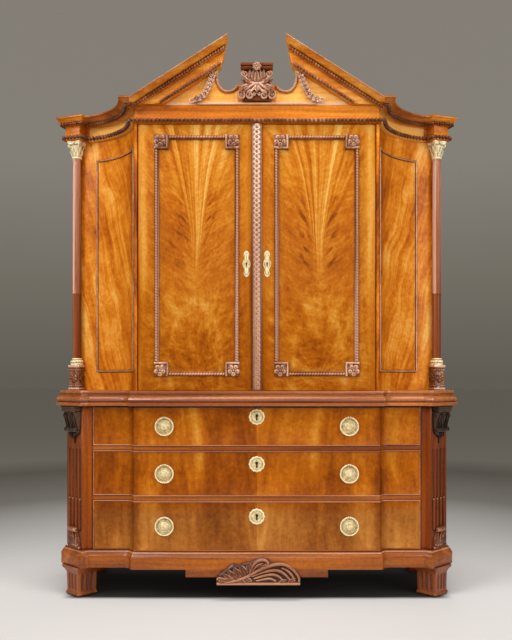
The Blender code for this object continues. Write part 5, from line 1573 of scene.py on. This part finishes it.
def curved(points, steps=6):
    """A smooth path through points given in millimetres."""
    spots = [Vector((x * MM, 0, z * MM)) for x, z in points]
    spots = [2 * spots[0] - spots[1]] + spots + [2 * spots[-1] - spots[-2]]
    path = []
    for a, b, c, d in zip(spots, spots[1:], spots[2:], spots[3:]):
        for k in range(steps):
            t = k / steps
            near = b + (c - a) * (t / 2) + (2 * a - 5 * b + 4 * c - d) * (t * t / 2)
            path.append(near + (3 * b - a - 3 * c + d) * (t**3 / 2))
    return path + [spots[-2]]


def apron_ornament():
    """The carved spray on the apron: leaves to the left, a fall of drapery to the right, on a plain bar."""
    c = Carving((ORNAMENT_AT, PLINTH_FACE - 0.013, ORNAMENT_LOW))
    half = ORNAMENT_HALF
    c.skin([[(x, y, z) for y, z in ORNAMENT_BAR] for x in (-half, half)])
    for x, z, lean, length, width in SPRAYS:
        c.leaf((x * MM, -0.001, z * MM), leaning(lean), -Y, length * MM, width * MM, 0.12, 4, 0.22, 12)
    for wire, points in RIDGES:
        c.rod([p - Y * 0.004 for p in curved(points)], bulging(0.55 * wire * MM, 0.45 * wire * MM), 8)
    c.scroll((-half + 0.014, -0.003, 0.022), -X, Z, -Y, 0.012, 1.3, 0.32, 0.003)
    c.piece("apron_spray", "spray", "mahogany")


def cock_beads():
    """The rounded bead round each drawer front, pale rosy as a painted highlight; the top one is painted
    dark as the waist's shadow.
    """
    for drawer in DRAWERS:
        node = "drawer_front_" + drawer
        low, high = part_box(node)
        end = high.x - BEAD_RADIUS
        for name, z, inset in (("lower", low.z, BEAD_RADIUS), ("upper", high.z, -BEAD_RADIUS)):
            outline = [p for p in ring_at(node, z) if p.y < high.y - 0.012]
            right = [Vector((min(p.x, end), p.y, z + inset)) for p in outline]
            bead = Carving()
            bead.rod(flipped(right[::-1]) + right, BEAD_RADIUS, 8, up=Z)
            # The top drawer's top bead is painted dark as the shadow under the waist
            look = {"upper upper": "ebony_and_shade", "lower lower": "rail"}.get(drawer + " " + name, "cock")
            bead.piece("cock_bead_" + drawer + "_" + name, look, "mahogany", body_of(node))
        ends = Carving()
        for side in HANDS:
            levels = (low.z + BEAD_RADIUS, high.z - BEAD_RADIUS)
            ends.rod([Vector((side * end, right[-1].y, z)) for z in levels], BEAD_RADIUS, 8)
        ends.piece("cock_bead_" + drawer + "_ends", "cock", "mahogany", body_of(node))


# Drawer furniture

LOBES = 12
KEY_SCALE = 1.45
RING_BANDS = 8
# Turned profiles: share of the radius, rise
PULL_PLATE = (
    (1, 0), (1, 0.0012), (0.97, 0.0026), (0.92, 0.003), (0.87, 0.0024), (0.84, 0.0013),
    (0.78, 0.0011), (0.72, 0.0016), (0.69, 0.003), (0.65, 0.0034), (0.61, 0.0026), (0.56, 0.0028),
    (0.5, 0.005), (0.42, 0.0076), (0.32, 0.01), (0.18, 0.0122), (0.06, 0.0128),
)
KEY_PLATE = (
    (1, 0), (1, 0.001), (0.95, 0.0026), (0.88, 0.004), (0.8, 0.0034), (0.72, 0.0018),
    (0.62, 0.0016), (0.56, 0.0028), (0.5, 0.003), (0.42, 0.0018), (0.1, 0.002),
)


def turned(c, radius, profile, count, scallop=0):
    """A round plate; its rim may be scalloped."""
    rings = []
    for share, rise in profile:
        depth = scallop * max(0, (share - 0.5) / 0.5)
        ring = []
        for a in circle(count):
            r = radius * share * (1 - depth * (1 - abs(cos(a * LOBES / 2))))
            ring.append((r * cos(a), -rise, r * sin(a)))
        rings.append(ring)
    c.skin(rings)


def pearls(c, count, radius, size, deep, rise):
    """A ring of small pearls on a plate."""
    for a in circle(count):
        c.egg((radius * cos(a), -rise, radius * sin(a)), size, size, deep, 6, 3)


def pull_plate(node):
    low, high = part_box(node)
    ring_low, ring_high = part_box(node.replace("plate", "ring"))
    middle = (ring_low + ring_high) / 2
    r = (high.x - low.x) / 2
    c = Carving((middle.x, high.y, middle.z))
    turned(c, r, PULL_PLATE, 48)
    pearls(c, 30, r * 0.775, 0.0019, 0.0016, 0.0014)
    c.rosette((0, -0.0095, 0), X, Z, -Y, r * 0.4, 10, 0.3)
    c.stand_for(node, "brass")
    lug = Carving((middle.x, 0, 0))
    hinge = high.z - 0.0052
    for x in (-0.0042, 0.0042):
        lug.rod([Vector((x + w, middle.y, hinge)) for w in (-0.0012, 0.0012)], 0.0054, 14)
    lug.rod([Vector((0, y, hinge - 0.001)) for y in (high.y - 0.001, middle.y)], 0.0044, 10, up=Z)
    lug.piece(node + "_lug", "brass", "gilt_brass", body_of(node), crease=40)


def pull_ring(node):
    """A cast ring bound with bands, like a wreath."""
    low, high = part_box(node)
    wire = (high.y - low.y) / 2
    r = (high.x - low.x) / 2 - wire
    rings = []
    for a in circle(96):
        bound = 0.8 + 0.2 * max(0, -cos(RING_BANDS * a)) ** 3 + 0.1 * cos(4 * RING_BANDS * a)
        ring = []
        for b in circle(12):
            reach = r + wire * bound * cos(b) * 0.98
            ring.append((reach * cos(a), wire * bound * sin(b) * 0.98, reach * sin(a)))
        rings.append(ring)
    c = Carving((low + high) / 2)
    c.skin(rings, True)
    c.stand_for(node, "brass")


def key_plate(node):
    """A round plate with a scalloped rim and a beaded ring round the keyhole."""
    low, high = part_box(node)
    middle = (low + high) / 2
    r = (high.x - low.x) / 2
    c = Carving((middle.x, high.y, middle.z))
    turned(c, r, KEY_PLATE, 96, 0.07)
    pearls(c, 24, r * 0.67, 0.002, 0.0018, 0.0016)
    keyhole_rim(c, KEY_SCALE, 0.0022, 0.005, 0.0009)
    c.stand_for(node, "brass")
    keyhole(node, (middle.x, high.y - 0.0032, middle.z + 0.005), KEY_SCALE)


def furniture():
    for drawer in DRAWERS:
        key_plate("key_plate_" + drawer)
        for side, _ in SIDES:
            pull_plate("pull_plate_" + drawer + "_" + side)
            pull_ring("pull_ring_" + drawer + "_" + side)


def main():
    bpy.context.scene.view_settings.view_transform = "Standard"
    for step in (camera, world, studio, floor, dress_frame, hood_beads, rake_beads, tympanum_carving,
                 bracket, astragal_carving, apron_ornament, plinth_bead, cock_beads, furniture):
        step()
    for side, sign in SIDES:
        cove_panel(side, sign)
        front_foot(side, sign)
        fluted_column(side, sign)
        capital(side, sign)
        pedestal_carving(side, sign)
        door_carving(side)
        door_escutcheon(side)
        post_carving(side, sign)
        console(side, sign)


main()
